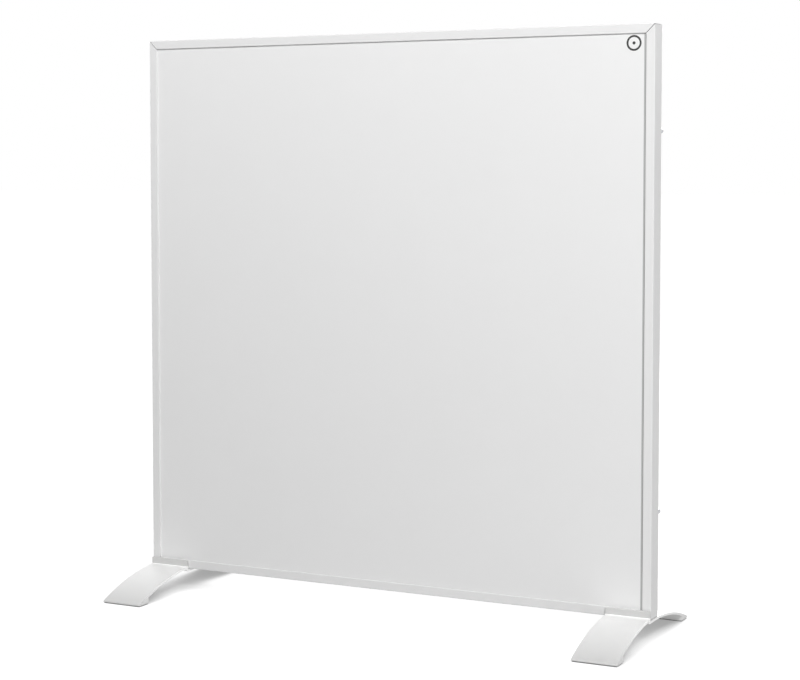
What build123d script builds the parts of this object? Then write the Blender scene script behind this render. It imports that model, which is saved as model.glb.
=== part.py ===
from build123d import *

import os
from math import cos, floor, radians, sin, sqrt, tan

# Free-standing infrared panel heater, in millimetres.
# X runs to the right along the panel, Y towards the back and Z up.
# The origin is on the floor, midway between the feet, under the middle of the panel.

os.makedirs("parts", exist_ok=True)

# ---------------------------------------------------------------- driving sizes

# Panel
panel_width = 600.0
panel_height = 600.0
panel_depth = 22.0
panel_lift = 24.0                 # floor to the panel's lower edge

# Aluminium frame rail, seen in its own section
rail_face = 9.2                   # width of the front and rear lips
lip_thickness = 1.5
outer_wall = 1.5
chamber_width = 5.5               # closed chamber that holds the corner keys
inner_wall = 1.0
rail_edge_radius = 0.6
lip_bevel = 1.2
mitre_gap = 0.2
frame_clearance = 0.1             # loose parts inside the rails

# Corner keys and their screws
key_arm = 32.0
key_screw_from_corner = 22.0
small_screw_diameter = 3.0
small_screw_length = 8.0
screw_head_diameter = 5.4
screw_head_height = 1.6
sunk_head_angle = 45.0
screw_socket_width = 2.0
screw_socket_depth = 1.0
thread_clearance = 0.05

# Layers of the panel, from the front to the back
plate_thickness = 1.0
board_thickness = 1.0
board_inset = 6.0
track_thickness = 0.2
track_width = 16.0
track_gap = 6.0
bar_thickness = 0.4
bar_width = 8.0
bar_from_edge = 8.0
sheet_thickness = 0.3
foil_thickness = 0.2
back_thickness = 0.8

# Pegs that hang the panel on a wall
peg_diameter = 6.0
peg_length = 10.0
peg_from_edge = 106.0             # from the panel's upper and lower edges
peg_thread_diameter = 4.0
peg_chamfer = 0.5
nut_bar_length = 18.0
nut_bar_thickness = 4.0

# Feet
foot_width = 48.0
foot_length = 220.0
arch_thickness = 2.5
tip_height = 1.6
toe_length = 18.0
foot_pad_thickness = 1.0
foot_pad_inset = 1.0
liner_thickness = 0.8
liner_below_lip = 0.6
slide_clearance = 0.1
front_lip_thickness = 1.8
front_lip_height = 9.4            # above the panel's lower edge
front_crown_height = 2.3          # the front half's arch would peak this far above it
rear_lip_thickness = 2.5
rear_lip_height = 16.0
rear_lip_inset = 3.0              # from the foot's sides
clamp_space = 4.0                 # between the panel's back and the rear lip

# Thumb screw of each foot
clamp_height = 6.0                # above the panel's lower edge
clamp_thread_diameter = 5.0
clamp_clearance = 0.05
clamp_pad_diameter = 7.4
clamp_pad_thickness = 1.8
clamp_pad_gap = 0.2
clamp_tip_diameter = 3.0
clamp_tip_length = 1.0
bush_diameter = 8.0
bush_flange_diameter = 11.0
bush_flange_thickness = 1.5
knob_gap = 2.6
knob_diameter = 14.0
knob_length = 9.0
knob_grooves = 12
knob_groove_diameter = 2.0

# Connection box on the back
box_width = 136.0
box_height = 66.0
box_depth = 20.0                  # from the back plate to the rim
box_wall = 2.0
box_floor = 1.6
box_corner_radius = 5.0
box_from_side = 52.0              # right-hand wall to the panel's right edge
box_above_edge = 24.0             # lower wall to the panel's lower edge
cover_thickness = 2.0
cover_rib_height = 3.0
cover_rib_width = 1.2
cover_clearance = 0.25
boss_diameter = 8.0
rivet_diameter = 3.2
rivet_head_diameter = 6.0
rivet_head_height = 1.0

# Terminal block
block_length = 20.0
block_pitch = 12.0
block_height = 14.0
block_from_wall = 16.0
block_drop = 6.0                  # the block's middle lies this far below the box's middle
clamp_tube_diameter = 6.0
clamp_tube_bore = 3.2
clamp_tube_inset = 1.0
terminal_screw_inset = 5.5
terminal_head_diameter = 4.2
terminal_head_height = 2.0
well_clearance = 0.2

# Thermal cut-out
cutout_diameter = 15.0
cutout_height = 7.4
cutout_flange_span = 24.0
cutout_flange_width = 8.0
cutout_flange_thickness = 1.0
cutout_below_top = 13.0           # from the box's upper wall
blade_width = 4.8
blade_thickness = 0.8
blade_length = 8.0

# Rocker switch
switch_width = 12.2
switch_length = 19.2
switch_body_depth = 14.0
switch_wall = 1.1                 # around the pocket
switch_bezel_overhang = 1.2       # beyond the body, all round
switch_bezel_thickness = 2.0
switch_pocket_depth = 6.5
switch_hole_clearance = 0.1
switch_raise = 8.0                # above the box's middle
rocker_side_clearance = 0.2
rocker_end_clearance = 1.2
rocker_tilt = 8.0                 # degrees to each side
rocker_centre_height = 3.0        # from the pivot to the dip in the rocker
rocker_hub_radius = 2.3
rocker_end_foot = 0.6
rocker_keel = 1.5
pivot_depth = 3.2                 # below the bezel's face
trunnion_radius = 1.2
trunnion_clearance = 0.05
trunnion_engagement = 0.9

# Spade connectors on the leads
spade_width = 6.4
spade_height = 2.4
spade_clearance = 0.05

# Cable gland
cable_diameter = 7.0
gland_thread_diameter = 12.0
gland_bore_clearance = 0.2
gland_hex_wall = 1.5              # from the thread to the flats
gland_hex_length = 4.5
gland_tail = 6.0
gland_neck = 9.0
gland_nut_gap = 0.5
gland_nut_wall = 2.4
gland_mouth_diameter = 8.4
seal_wall = 1.3                   # round the cable
seal_length = 8.0
locknut_clearance = 0.7           # to the box's floor and to the cover
locknut_thickness = 3.0
gland_clearance = 0.05

# Inner leads
lead_diameter = 2.4
lead_insertion = 5.0
lead_bend = 4.0
bend_share = 0.45                 # of a run that each of its bends may take
grommet_diameter = 9.0
grommet_flange_diameter = 12.0
grommet_flange_thickness = 1.0
grommet_bore_clearance = 0.1
neutral_lead_from_block = 10.0
live_lead_from_switch = 11.6      # from the end of the switch's connectors

# Earth stud
stud_diameter = 4.0
stud_length = 8.5
stud_from_block = 26.0
earth_nut_width = 7.0
earth_nut_thickness = 3.2
ring_margin = 0.5                 # beyond the earth nut, all round
ring_thickness = 0.8
ring_barrel_diameter = 3.6
ring_barrel_length = 6.0

# ---------------------------------------------------------------- derived places

half_width = panel_width / 2
half_height = panel_height / 2
half_depth = panel_depth / 2
panel_centre = panel_lift + half_height

sunk_head_depth = (screw_head_diameter - small_screw_diameter) / 2
chamber_depth = panel_depth - 2 * lip_thickness
chamber_middle = outer_wall + chamber_width / 2
groove_edge = outer_wall + chamber_width + inner_wall
pack_front = -half_depth + lip_thickness
pack_back = half_depth - lip_thickness
pack_width = panel_width - 2 * (groove_edge + frame_clearance)
pack_height = panel_height - 2 * (groove_edge + frame_clearance)

plate_back = pack_front + plate_thickness
board_back = plate_back + board_thickness
sheet_front = board_back + max(bar_thickness, track_thickness)
sheet_back = sheet_front + sheet_thickness
foil_back = sheet_back + foil_thickness
wool_back = pack_back - back_thickness

seat_height = panel_lift - liner_thickness
half_foot = foot_length / 2
front_lip_inner = -half_depth - slide_clearance - liner_thickness
front_lip_outer = front_lip_inner - front_lip_thickness
rear_lip_inner = half_depth + clamp_space
rear_lip_outer = rear_lip_inner + rear_lip_thickness
tip_top = foot_pad_thickness + tip_height
front_peak = panel_lift + front_crown_height
rear_peak = seat_height
channel_under = seat_height - arch_thickness

box_right = half_width - box_from_side
box_left = box_right - box_width
box_low = panel_lift + box_above_edge
box_high = box_low + box_height
box_middle_x = (box_left + box_right) / 2
box_middle_z = (box_low + box_high) / 2
floor_top = pack_back + box_floor
box_rim = pack_back + box_depth
fitting_y = (floor_top + box_rim) / 2

clamp_z = panel_lift + clamp_height
frame_views = {"front": (0, -1, 0), "back": (0, 1, 0)}


def facing(side, x, y, z):
    """Plane at a point, seen square on from the front or the back, with Z up the sketch."""
    across = (1, 0, 0) if side == "front" else (-1, 0, 0)
    return Plane(origin=(x, y, z), x_dir=across, z_dir=frame_views[side])


def finish(piece, name):
    """Name a finished piece and write its file."""
    piece.part.label = name
    export_step(piece.part, "parts/" + name + ".step")


# ---------------------------------------------------------------- frame rails

def make_rail(edge, length, peg_holes):
    """One rail on its edge plane: x along the rail, y into the panel and z to the front."""
    section = Plane(edge.origin - edge.x_dir * (length / 2), x_dir=edge.y_dir, z_dir=edge.x_dir)
    with BuildPart() as rail:
        with BuildSketch(section):
            with BuildLine():
                Polyline(
                    (0, -half_depth),
                    (rail_face, -half_depth),
                    (rail_face, -half_depth + lip_thickness),
                    (groove_edge, -half_depth + lip_thickness),
                    (groove_edge, half_depth - lip_thickness),
                    (rail_face, half_depth - lip_thickness),
                    (rail_face, half_depth - lip_bevel),
                    (rail_face - lip_bevel, half_depth),
                    (0, half_depth),
                    close=True,
                )
            make_face()
            fillet(vertices().group_by(Axis.X)[0], rail_edge_radius)
            with Locations((chamber_middle, 0)):
                Rectangle(chamber_width, chamber_depth, mode=Mode.SUBTRACT)
        extrude(amount=length)
        screw_place = length / 2 - key_screw_from_corner
        for place in (-screw_place, screw_place):
            with BuildSketch(edge.offset(-half_depth)):
                with Locations((place, chamber_middle)):
                    Circle(screw_head_diameter / 2 + frame_clearance)
            extrude(amount=sunk_head_depth, taper=sunk_head_angle, mode=Mode.SUBTRACT)
            with BuildSketch(edge.offset(-half_depth)):
                with Locations((place, chamber_middle)):
                    Circle(small_screw_diameter / 2 + frame_clearance)
            extrude(amount=lip_thickness, mode=Mode.SUBTRACT)
        for place in peg_holes:
            with BuildSketch(edge.offset(-half_depth)):
                with Locations((place, chamber_middle)):
                    Circle(peg_thread_diameter / 2 + frame_clearance)
            extrude(amount=lip_thickness, mode=Mode.SUBTRACT)
        for end in (-1, 1):
            corner = edge.origin + edge.x_dir * (end * length / 2)
            seam = Plane(corner, z_dir=edge.x_dir * end + edge.y_dir)
            split(bisect_by=seam.offset(-mitre_gap / 2), keep=Keep.BOTTOM)
    return rail


peg_place = half_height - peg_from_edge

top_edge = Plane((0, 0, panel_centre + half_height), x_dir=(-1, 0, 0), z_dir=(0, -1, 0))
bottom_edge = Plane((0, 0, panel_lift), x_dir=(1, 0, 0), z_dir=(0, -1, 0))
left_edge = Plane((-half_width, 0, panel_centre), x_dir=(0, 0, -1), z_dir=(0, -1, 0))
right_edge = Plane((half_width, 0, panel_centre), x_dir=(0, 0, 1), z_dir=(0, -1, 0))

finish(make_rail(top_edge, panel_width, ()), "frame_top_rail")
finish(make_rail(bottom_edge, panel_width, ()), "frame_bottom_rail")
finish(make_rail(left_edge, panel_height, (-peg_place, peg_place)), "frame_left_rail")
finish(make_rail(right_edge, panel_height, (-peg_place, peg_place)), "frame_right_rail")


# ---------------------------------------------------------------- corner keys

key_screws_across = GridLocations(
    panel_width - 2 * key_screw_from_corner, panel_height - 2 * chamber_middle, 2, 2
)
key_screws_upright = GridLocations(
    panel_width - 2 * chamber_middle, panel_height - 2 * key_screw_from_corner, 2, 2
)
key_outer = outer_wall + frame_clearance
key_inner = outer_wall + chamber_width - frame_clearance
key_depth = chamber_depth - 2 * frame_clearance
key_back = half_depth - lip_thickness - frame_clearance

with BuildPart() as corner_keys:
    with BuildSketch(facing("front", 0, key_back, panel_centre)):
        for side in (-1, 1):
            for level in (-1, 1):
                with BuildLine():
                    Polyline(
                        (side * (half_width - key_outer), level * (half_height - key_outer)),
                        (side * (half_width - key_arm), level * (half_height - key_outer)),
                        (side * (half_width - key_arm), level * (half_height - key_inner)),
                        (side * (half_width - key_inner), level * (half_height - key_inner)),
                        (side * (half_width - key_inner), level * (half_height - key_arm)),
                        (side * (half_width - key_outer), level * (half_height - key_arm)),
                        close=True,
                    )
                make_face()
        for places in (key_screws_across, key_screws_upright):
            with places:
                Circle(small_screw_diameter / 2 + thread_clearance, mode=Mode.SUBTRACT)
    extrude(amount=key_depth)
finish(corner_keys, "corner_keys")

# The heads are sunk just below the rear lip, so that a foot's clamp slides past them.
key_head = facing("front", 0, half_depth - frame_clearance, panel_centre)

with BuildPart() as corner_key_screws:
    for places in (key_screws_across, key_screws_upright):
        with BuildSketch(key_head):
            with places:
                Circle(screw_head_diameter / 2)
        extrude(amount=sunk_head_depth, taper=sunk_head_angle)
        with BuildSketch(key_head):
            with places:
                Circle(small_screw_diameter / 2)
        extrude(amount=small_screw_length)
        with BuildSketch(key_head):
            with places:
                RegularPolygon(screw_socket_width / 2, 6, major_radius=False)
        extrude(amount=screw_socket_depth, mode=Mode.SUBTRACT)
finish(corner_key_screws, "corner_key_screws")


# ---------------------------------------------------------------- layers of the panel

# The heating board stops short of the groove, and its two bus bars run up its sides.
# Both bars carry on along the lower edge to solder tabs behind the connection box.
board_width = pack_width - 2 * board_inset
board_height = pack_height - 2 * board_inset
board_high = panel_centre + board_height / 2

block_middle_z = box_middle_z - block_drop
block_left = box_left + box_wall + block_from_wall
block_right = block_left + block_length
neutral_z = block_middle_z - block_pitch
earth_z = block_middle_z
live_z = block_middle_z + block_pitch
terminal_y = floor_top + block_height / 2
neutral_lead_x = block_right + neutral_lead_from_block
switch_back = box_right - switch_body_depth
switch_lead_x = switch_back - blade_length - spade_height
live_lead_x = switch_lead_x - live_lead_from_switch
lead_holes = [(neutral_lead_x, neutral_z), (live_lead_x, neutral_z)]

bar_left = -board_width / 2 + bar_from_edge
bar_right = board_width / 2 - bar_from_edge
bar_high = board_high - bar_from_edge
tail_low = neutral_z - bar_width / 2
tail_high = neutral_z + bar_width / 2
track_low = tail_high + track_gap
track_pitch = track_width + track_gap
track_count = floor((bar_high - track_low + track_gap) / track_pitch)
track_run = bar_right - bar_left - 2 * bar_width
track_span = track_count * track_pitch - track_gap


def make_layer(name, back, thickness, width, height, hole_diameter):
    """A flat layer of the panel, with a hole for each heater lead where it needs them."""
    with BuildPart() as layer:
        with BuildSketch(facing("front", 0, back, panel_centre)):
            Rectangle(width, height)
        extrude(amount=thickness)
        if hole_diameter:
            for x, z in lead_holes:
                with BuildSketch(facing("front", x, back, z)):
                    Circle(hole_diameter / 2)
                extrude(amount=thickness, mode=Mode.SUBTRACT)
    finish(layer, name)


lead_hole = lead_diameter + 2 * frame_clearance
back_hole = grommet_diameter + 2 * frame_clearance
make_layer("front_plate", plate_back, plate_thickness, pack_width, pack_height, 0)
make_layer("heater_board", board_back, board_thickness, board_width, board_height, 0)
make_layer("insulating_sheet", sheet_back, sheet_thickness, pack_width, pack_height, lead_hole)
make_layer("reflector_foil", foil_back, foil_thickness, pack_width, pack_height, lead_hole)
make_layer("insulation_board", wool_back, wool_back - foil_back, pack_width, pack_height, lead_hole)

with BuildPart() as carbon_tracks:
    with BuildSketch(facing("front", 0, board_back, track_low + track_span / 2)):
        with GridLocations(0, track_pitch, 1, track_count):
            Rectangle(track_run, track_width)
    extrude(amount=-track_thickness)
finish(carbon_tracks, "carbon_tracks")

with BuildPart() as bus_bars:
    with BuildSketch(facing("front", 0, board_back, 0)):
        with BuildLine():
            Polyline(
                (bar_left, tail_low),
                (neutral_lead_x + bar_width / 2, tail_low),
                (neutral_lead_x + bar_width / 2, tail_high),
                (bar_left + bar_width, tail_high),
                (bar_left + bar_width, bar_high),
                (bar_left, bar_high),
                close=True,
            )
        make_face()
        with BuildLine():
            Polyline(
                (bar_right, tail_low),
                (live_lead_x - bar_width / 2, tail_low),
                (live_lead_x - bar_width / 2, tail_high),
                (bar_right - bar_width, tail_high),
                (bar_right - bar_width, bar_high),
                (bar_right, bar_high),
                close=True,
            )
        make_face()
    extrude(amount=-bar_thickness)
finish(bus_bars, "bus_bars")

# The back plate also carries the box: four rivets and the earth stud go through it.
stud_x = block_right + stud_from_block
rivet_inset = boss_diameter + rivet_head_diameter / 2 + box_wall + cover_clearance
rivet_side = box_width / 2 - rivet_inset
rivet_level = box_height / 2 - box_wall - rivet_head_diameter / 2 - cover_clearance
rivet_places = GridLocations(2 * rivet_side, 2 * rivet_level, 2, 2)

with BuildPart() as back_plate:
    with BuildSketch(facing("front", 0, pack_back, panel_centre)):
        Rectangle(pack_width, pack_height)
    extrude(amount=back_thickness)
    with BuildSketch(facing("front", box_middle_x, pack_back, box_middle_z)):
        with rivet_places:
            Circle(rivet_diameter / 2 + frame_clearance)
        with Locations((stud_x - box_middle_x, earth_z - box_middle_z)):
            Circle(stud_diameter / 2 + thread_clearance)
    extrude(amount=back_thickness, mode=Mode.SUBTRACT)
    for x, z in lead_holes:
        with BuildSketch(facing("front", x, pack_back, z)):
            Circle(back_hole / 2)
        extrude(amount=back_thickness, mode=Mode.SUBTRACT)
finish(back_plate, "back_plate")


# ---------------------------------------------------------------- wall pegs

peg_places = GridLocations(panel_width - 2 * chamber_middle, 2 * peg_place, 2, 2)
peg_thread_length = lip_thickness + nut_bar_thickness

with BuildPart() as wall_pegs:
    with BuildSketch(facing("back", 0, half_depth, panel_centre)):
        with peg_places:
            Circle(peg_diameter / 2)
    extrude(amount=peg_length)
    chamfer(faces().sort_by(Axis.Y)[-4:].edges(), peg_chamfer)
    with BuildSketch(facing("back", 0, half_depth, panel_centre)):
        with peg_places:
            Circle(peg_thread_diameter / 2)
    extrude(amount=-peg_thread_length)
finish(wall_pegs, "wall_pegs")

with BuildPart() as peg_nut_bars:
    with BuildSketch(facing("back", 0, pack_back, panel_centre)):
        with peg_places:
            Rectangle(chamber_width - 2 * frame_clearance, nut_bar_length)
            Circle(peg_thread_diameter / 2 + thread_clearance, mode=Mode.SUBTRACT)
    extrude(amount=-nut_bar_thickness)
finish(peg_nut_bars, "peg_nut_bars")


# ---------------------------------------------------------------- connection box

boss_inset = box_wall + boss_diameter / 2 - frame_clearance
boss_places = GridLocations(box_width - 2 * boss_inset, box_height - 2 * boss_inset, 2, 2)
switch_z = box_middle_z + switch_raise
across_box = Plane.YZ

with BuildPart() as box_base:
    with BuildSketch(facing("back", box_middle_x, pack_back, box_middle_z)):
        RectangleRounded(box_width, box_height, box_corner_radius)
    extrude(amount=box_depth)
    with BuildSketch(facing("back", box_middle_x, floor_top, box_middle_z)):
        RectangleRounded(
            box_width - 2 * box_wall, box_height - 2 * box_wall, box_corner_radius - box_wall
        )
    extrude(amount=box_depth, mode=Mode.SUBTRACT)
    with BuildSketch(facing("back", box_middle_x, floor_top, box_middle_z)):
        with boss_places:
            Circle(boss_diameter / 2)
    extrude(amount=box_rim - floor_top)
    with BuildSketch(facing("back", box_middle_x, box_rim, box_middle_z)):
        with boss_places:
            Circle(small_screw_diameter / 2 + thread_clearance)
    extrude(amount=-small_screw_length - thread_clearance, mode=Mode.SUBTRACT)
    with BuildSketch(facing("front", box_middle_x, floor_top, box_middle_z)):
        with rivet_places:
            Circle(rivet_diameter / 2 + frame_clearance)
        with Locations((stud_x - box_middle_x, earth_z - box_middle_z)):
            Circle(stud_diameter / 2 + frame_clearance)
        for x, z in lead_holes:
            with Locations((x - box_middle_x, z - box_middle_z)):
                Circle(grommet_flange_diameter / 2 + frame_clearance)
    extrude(amount=box_floor, mode=Mode.SUBTRACT)
    with BuildSketch(across_box.offset(box_left)):
        with Locations((fitting_y, box_middle_z)):
            Circle(gland_thread_diameter / 2 + frame_clearance)
    extrude(amount=box_wall, mode=Mode.SUBTRACT)
    with BuildSketch(across_box.offset(box_right - box_wall)):
        with Locations((fitting_y, switch_z)):
            Rectangle(
                switch_width + 2 * switch_hole_clearance,
                switch_length + 2 * switch_hole_clearance,
            )
    extrude(amount=box_wall, mode=Mode.SUBTRACT)
finish(box_base, "box_base")

rib_inset = box_wall + cover_clearance
with BuildPart() as box_cover:
    with BuildSketch(facing("back", box_middle_x, box_rim, box_middle_z)):
        RectangleRounded(box_width, box_height, box_corner_radius)
    extrude(amount=cover_thickness)
    chamfer(faces().sort_by(Axis.Y)[-1].edges(), cover_thickness / 4)
    with BuildSketch(facing("back", box_middle_x, box_rim, box_middle_z)):
        for offset_z in (-1, 1):
            with Locations((0, offset_z * (box_height / 2 - rib_inset - cover_rib_width / 2))):
                Rectangle(box_width - 4 * boss_inset, cover_rib_width)
    extrude(amount=-cover_rib_height)
    with BuildSketch(facing("back", box_middle_x, box_rim, box_middle_z)):
        with boss_places:
            Circle(small_screw_diameter / 2 + frame_clearance)
    extrude(amount=cover_thickness, mode=Mode.SUBTRACT)
finish(box_cover, "box_cover")

cover_face = box_rim + cover_thickness
with BuildPart() as box_cover_screws:
    with BuildSketch(facing("back", box_middle_x, cover_face, box_middle_z)):
        with boss_places:
            Circle(screw_head_diameter / 2)
    extrude(amount=screw_head_height)
    with BuildSketch(facing("back", box_middle_x, cover_face, box_middle_z)):
        with boss_places:
            Circle(small_screw_diameter / 2)
    extrude(amount=-small_screw_length)
    with BuildSketch(facing("front", box_middle_x, cover_face + screw_head_height, box_middle_z)):
        with boss_places:
            RegularPolygon(screw_socket_width / 2, 6, major_radius=False)
    extrude(amount=screw_socket_depth, mode=Mode.SUBTRACT)
finish(box_cover_screws, "box_cover_screws")

with BuildPart() as box_rivets:
    with BuildSketch(facing("back", box_middle_x, floor_top, box_middle_z)):
        with rivet_places:
            Circle(rivet_head_diameter / 2)
    extrude(amount=rivet_head_height)
    with BuildSketch(facing("back", box_middle_x, floor_top, box_middle_z)):
        with rivet_places:
            Circle(rivet_diameter / 2)
    extrude(amount=-box_floor - back_thickness)
finish(box_rivets, "box_rivets")

with BuildPart() as lead_grommets:
    for x, z in lead_holes:
        with BuildSketch(facing("back", x, pack_back, z)):
            Circle(grommet_flange_diameter / 2)
        extrude(amount=grommet_flange_thickness)
        with BuildSketch(facing("back", x, pack_back, z)):
            Circle(grommet_diameter / 2)
        extrude(amount=-back_thickness)
        with BuildSketch(facing("back", x, wool_back, z)):
            Circle(lead_diameter / 2 + grommet_bore_clearance)
        extrude(amount=back_thickness + grommet_flange_thickness, mode=Mode.SUBTRACT)
finish(lead_grommets, "lead_grommets")


# ---------------------------------------------------------------- terminal block

block_poles = (neutral_z, earth_z, live_z)
block_middle_x = (block_left + block_right) / 2
terminal_screw_reach = clamp_tube_diameter / 2 - clamp_tube_bore / 2
head_seat_y = terminal_y + clamp_tube_diameter / 2
terminal_screw_places = [
    (x, z)
    for z in block_poles
    for x in (block_left + terminal_screw_inset, block_right - terminal_screw_inset)
]

with BuildPart() as terminal_block:
    with BuildSketch(facing("back", block_middle_x, floor_top, block_middle_z)):
        Rectangle(block_length, len(block_poles) * block_pitch)
    extrude(amount=block_height)
    for z in block_poles:
        with BuildSketch(across_box.offset(block_left)):
            with Locations((terminal_y, z)):
                Circle(clamp_tube_diameter / 2 + frame_clearance)
        extrude(amount=block_length, mode=Mode.SUBTRACT)
    for x, z in terminal_screw_places:
        with BuildSketch(facing("back", x, terminal_y, z)):
            Circle(terminal_head_diameter / 2 + well_clearance)
        extrude(amount=block_height, mode=Mode.SUBTRACT)
finish(terminal_block, "terminal_block")

with BuildPart() as terminal_clamps:
    for z in block_poles:
        with BuildSketch(across_box.offset(block_left + clamp_tube_inset)):
            with Locations((terminal_y, z)):
                Circle(clamp_tube_diameter / 2)
                Circle(clamp_tube_bore / 2, mode=Mode.SUBTRACT)
        extrude(amount=block_length - 2 * clamp_tube_inset)
    for x, z in terminal_screw_places:
        with BuildSketch(facing("back", x, terminal_y, z)):
            Circle(small_screw_diameter / 2 + thread_clearance)
        extrude(amount=clamp_tube_diameter, mode=Mode.SUBTRACT)
finish(terminal_clamps, "terminal_clamps")

with BuildPart() as terminal_screws:
    for x, z in terminal_screw_places:
        with BuildSketch(facing("back", x, head_seat_y, z)):
            Circle(terminal_head_diameter / 2)
        extrude(amount=terminal_head_height)
        with BuildSketch(facing("back", x, head_seat_y, z)):
            Circle(small_screw_diameter / 2)
        extrude(amount=-terminal_screw_reach)
finish(terminal_screws, "terminal_screws")


# ---------------------------------------------------------------- thermal cut-out

# It sits midway between the terminal block and the switch's connectors.
cutout_x = (block_right + switch_lead_x) / 2
cutout_z = box_high - cutout_below_top
cutout_top = floor_top + cutout_height
cutout_rivet_places = GridLocations(cutout_flange_span, 0, 2, 1)
blade_y = cutout_top + blade_thickness / 2
cutout_blade_root = cutout_diameter / 2 - blade_width / 2

with BuildPart() as thermal_cutout:
    with BuildSketch(facing("back", cutout_x, floor_top, cutout_z)):
        Circle(cutout_diameter / 2)
    extrude(amount=cutout_height)
    with BuildSketch(facing("back", cutout_x, floor_top, cutout_z)):
        SlotCenterToCenter(cutout_flange_span, cutout_flange_width)
        with cutout_rivet_places:
            Circle(rivet_diameter / 2 + frame_clearance, mode=Mode.SUBTRACT)
    extrude(amount=cutout_flange_thickness)
finish(thermal_cutout, "thermal_cutout")

with BuildPart() as cutout_rivets:
    with BuildSketch(facing("back", cutout_x, floor_top + cutout_flange_thickness, cutout_z)):
        with cutout_rivet_places:
            Circle(rivet_head_diameter / 2)
    extrude(amount=rivet_head_height)
    with BuildSketch(facing("back", cutout_x, floor_top + cutout_flange_thickness, cutout_z)):
        with cutout_rivet_places:
            Circle(rivet_diameter / 2)
    extrude(amount=-cutout_flange_thickness)
finish(cutout_rivets, "cutout_rivets")

cutout_blade_tip = cutout_blade_root + blade_width + blade_length
with BuildPart() as cutout_blades:
    with BuildSketch(facing("back", cutout_x, cutout_top, cutout_z)):
        for side in (-1, 1):
            with Locations((side * (cutout_blade_root + cutout_blade_tip) / 2, 0)):
                Rectangle(cutout_blade_tip - cutout_blade_root, blade_width)
    extrude(amount=blade_thickness)
finish(cutout_blades, "cutout_blades")


# ---------------------------------------------------------------- rocker switch

bezel_face = box_right + switch_bezel_thickness
bezel_width = switch_width + 2 * switch_bezel_overhang
bezel_length = switch_length + 2 * switch_bezel_overhang
pocket_width = switch_width - 2 * switch_wall
pocket_length = switch_length - 2 * switch_wall
pivot_x = bezel_face - pivot_depth
blade_split = switch_length / 4

with BuildPart() as switch_housing:
    with BuildSketch(across_box.offset(switch_back)):
        with Locations((fitting_y, switch_z)):
            Rectangle(switch_width, switch_length)
    extrude(amount=switch_body_depth)
    with BuildSketch(across_box.offset(box_right)):
        with Locations((fitting_y, switch_z)):
            RectangleRounded(bezel_width, bezel_length, switch_bezel_thickness / 2)
    extrude(amount=switch_bezel_thickness)
    with BuildSketch(across_box.offset(bezel_face)):
        with Locations((fitting_y, switch_z)):
            Rectangle(pocket_width, pocket_length)
    extrude(amount=-switch_pocket_depth, mode=Mode.SUBTRACT)
    trunnion_reach = pocket_width / 2 + trunnion_engagement
    with BuildSketch(facing("back", pivot_x, fitting_y, switch_z)):
        Circle(trunnion_radius + trunnion_clearance)
    extrude(amount=trunnion_reach + trunnion_clearance, both=True, mode=Mode.SUBTRACT)
finish(switch_housing, "switch_housing")

with BuildPart() as switch_blades:
    with BuildSketch(across_box.offset(switch_back)):
        for side in (-1, 1):
            with Locations((fitting_y, switch_z + side * blade_split)):
                Rectangle(blade_width, blade_thickness)
    extrude(amount=-blade_length)
finish(switch_blades, "switch_blades")

# The rocker rests switched off, with its upper half standing out.
tilt = radians(rocker_tilt)
rocker_plane = Plane(
    origin=(pivot_x, fitting_y, switch_z), x_dir=(sin(tilt), 0, cos(tilt)), z_dir=(0, 1, 0)
)
rocker_half_length = pocket_length / 2 - rocker_end_clearance
rocker_half_width = pocket_width / 2 - rocker_side_clearance
rocker_end_height = rocker_centre_height + rocker_half_length * tan(tilt)

with BuildPart() as switch_rocker:
    with BuildSketch(rocker_plane):
        with BuildLine():
            Polyline(
                (-rocker_half_length, rocker_end_height),
                (0, rocker_centre_height),
                (rocker_half_length, rocker_end_height),
                (rocker_half_length, rocker_end_foot),
                (0, -rocker_keel),
                (-rocker_half_length, rocker_end_foot),
                close=True,
            )
        make_face()
        Circle(rocker_hub_radius)
    extrude(amount=rocker_half_width, both=True)
    with BuildSketch(rocker_plane):
        Circle(trunnion_radius)
    extrude(amount=trunnion_reach, both=True)
finish(switch_rocker, "switch_rocker")


# ---------------------------------------------------------------- cable gland

gland_seat = box_left
gland_end = gland_seat - gland_hex_length - gland_neck
nut_inner = gland_seat - gland_hex_length - gland_nut_gap
nut_end = gland_end - gland_nut_wall
gland_bore = cable_diameter / 2 + gland_bore_clearance
gland_hex_width = gland_thread_diameter + 2 * gland_hex_wall
seal_diameter = cable_diameter + 2 * seal_wall
thread_radius = gland_thread_diameter / 2
locknut_width = box_rim - floor_top - 2 * locknut_clearance
gland_point = (fitting_y, box_middle_z)
hex_turn = 30.0                   # flats square to the back plate

with BuildPart() as gland_body:
    with BuildSketch(across_box.offset(gland_seat)):
        with Locations(gland_point):
            Circle(thread_radius)
    extrude(amount=box_wall + gland_tail)
    with BuildSketch(across_box.offset(gland_seat)):
        with Locations(gland_point):
            RegularPolygon(gland_hex_width / 2, 6, major_radius=False, rotation=hex_turn)
    extrude(amount=-gland_hex_length)
    with BuildSketch(across_box.offset(gland_end)):
        with Locations(gland_point):
            Circle(thread_radius)
    extrude(amount=gland_neck)
    with BuildSketch(across_box.offset(gland_end)):
        with Locations(gland_point):
            Circle(gland_bore)
    extrude(amount=gland_neck + gland_hex_length + box_wall + gland_tail, mode=Mode.SUBTRACT)
    with BuildSketch(across_box.offset(gland_end)):
        with Locations(gland_point):
            Circle(seal_diameter / 2 + gland_clearance)
    extrude(amount=seal_length, mode=Mode.SUBTRACT)
finish(gland_body, "gland_body")

with BuildPart() as gland_seal:
    with BuildSketch(across_box.offset(gland_end)):
        with Locations(gland_point):
            Circle(seal_diameter / 2)
            Circle(cable_diameter / 2, mode=Mode.SUBTRACT)
    extrude(amount=seal_length)
finish(gland_seal, "gland_seal")

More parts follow.
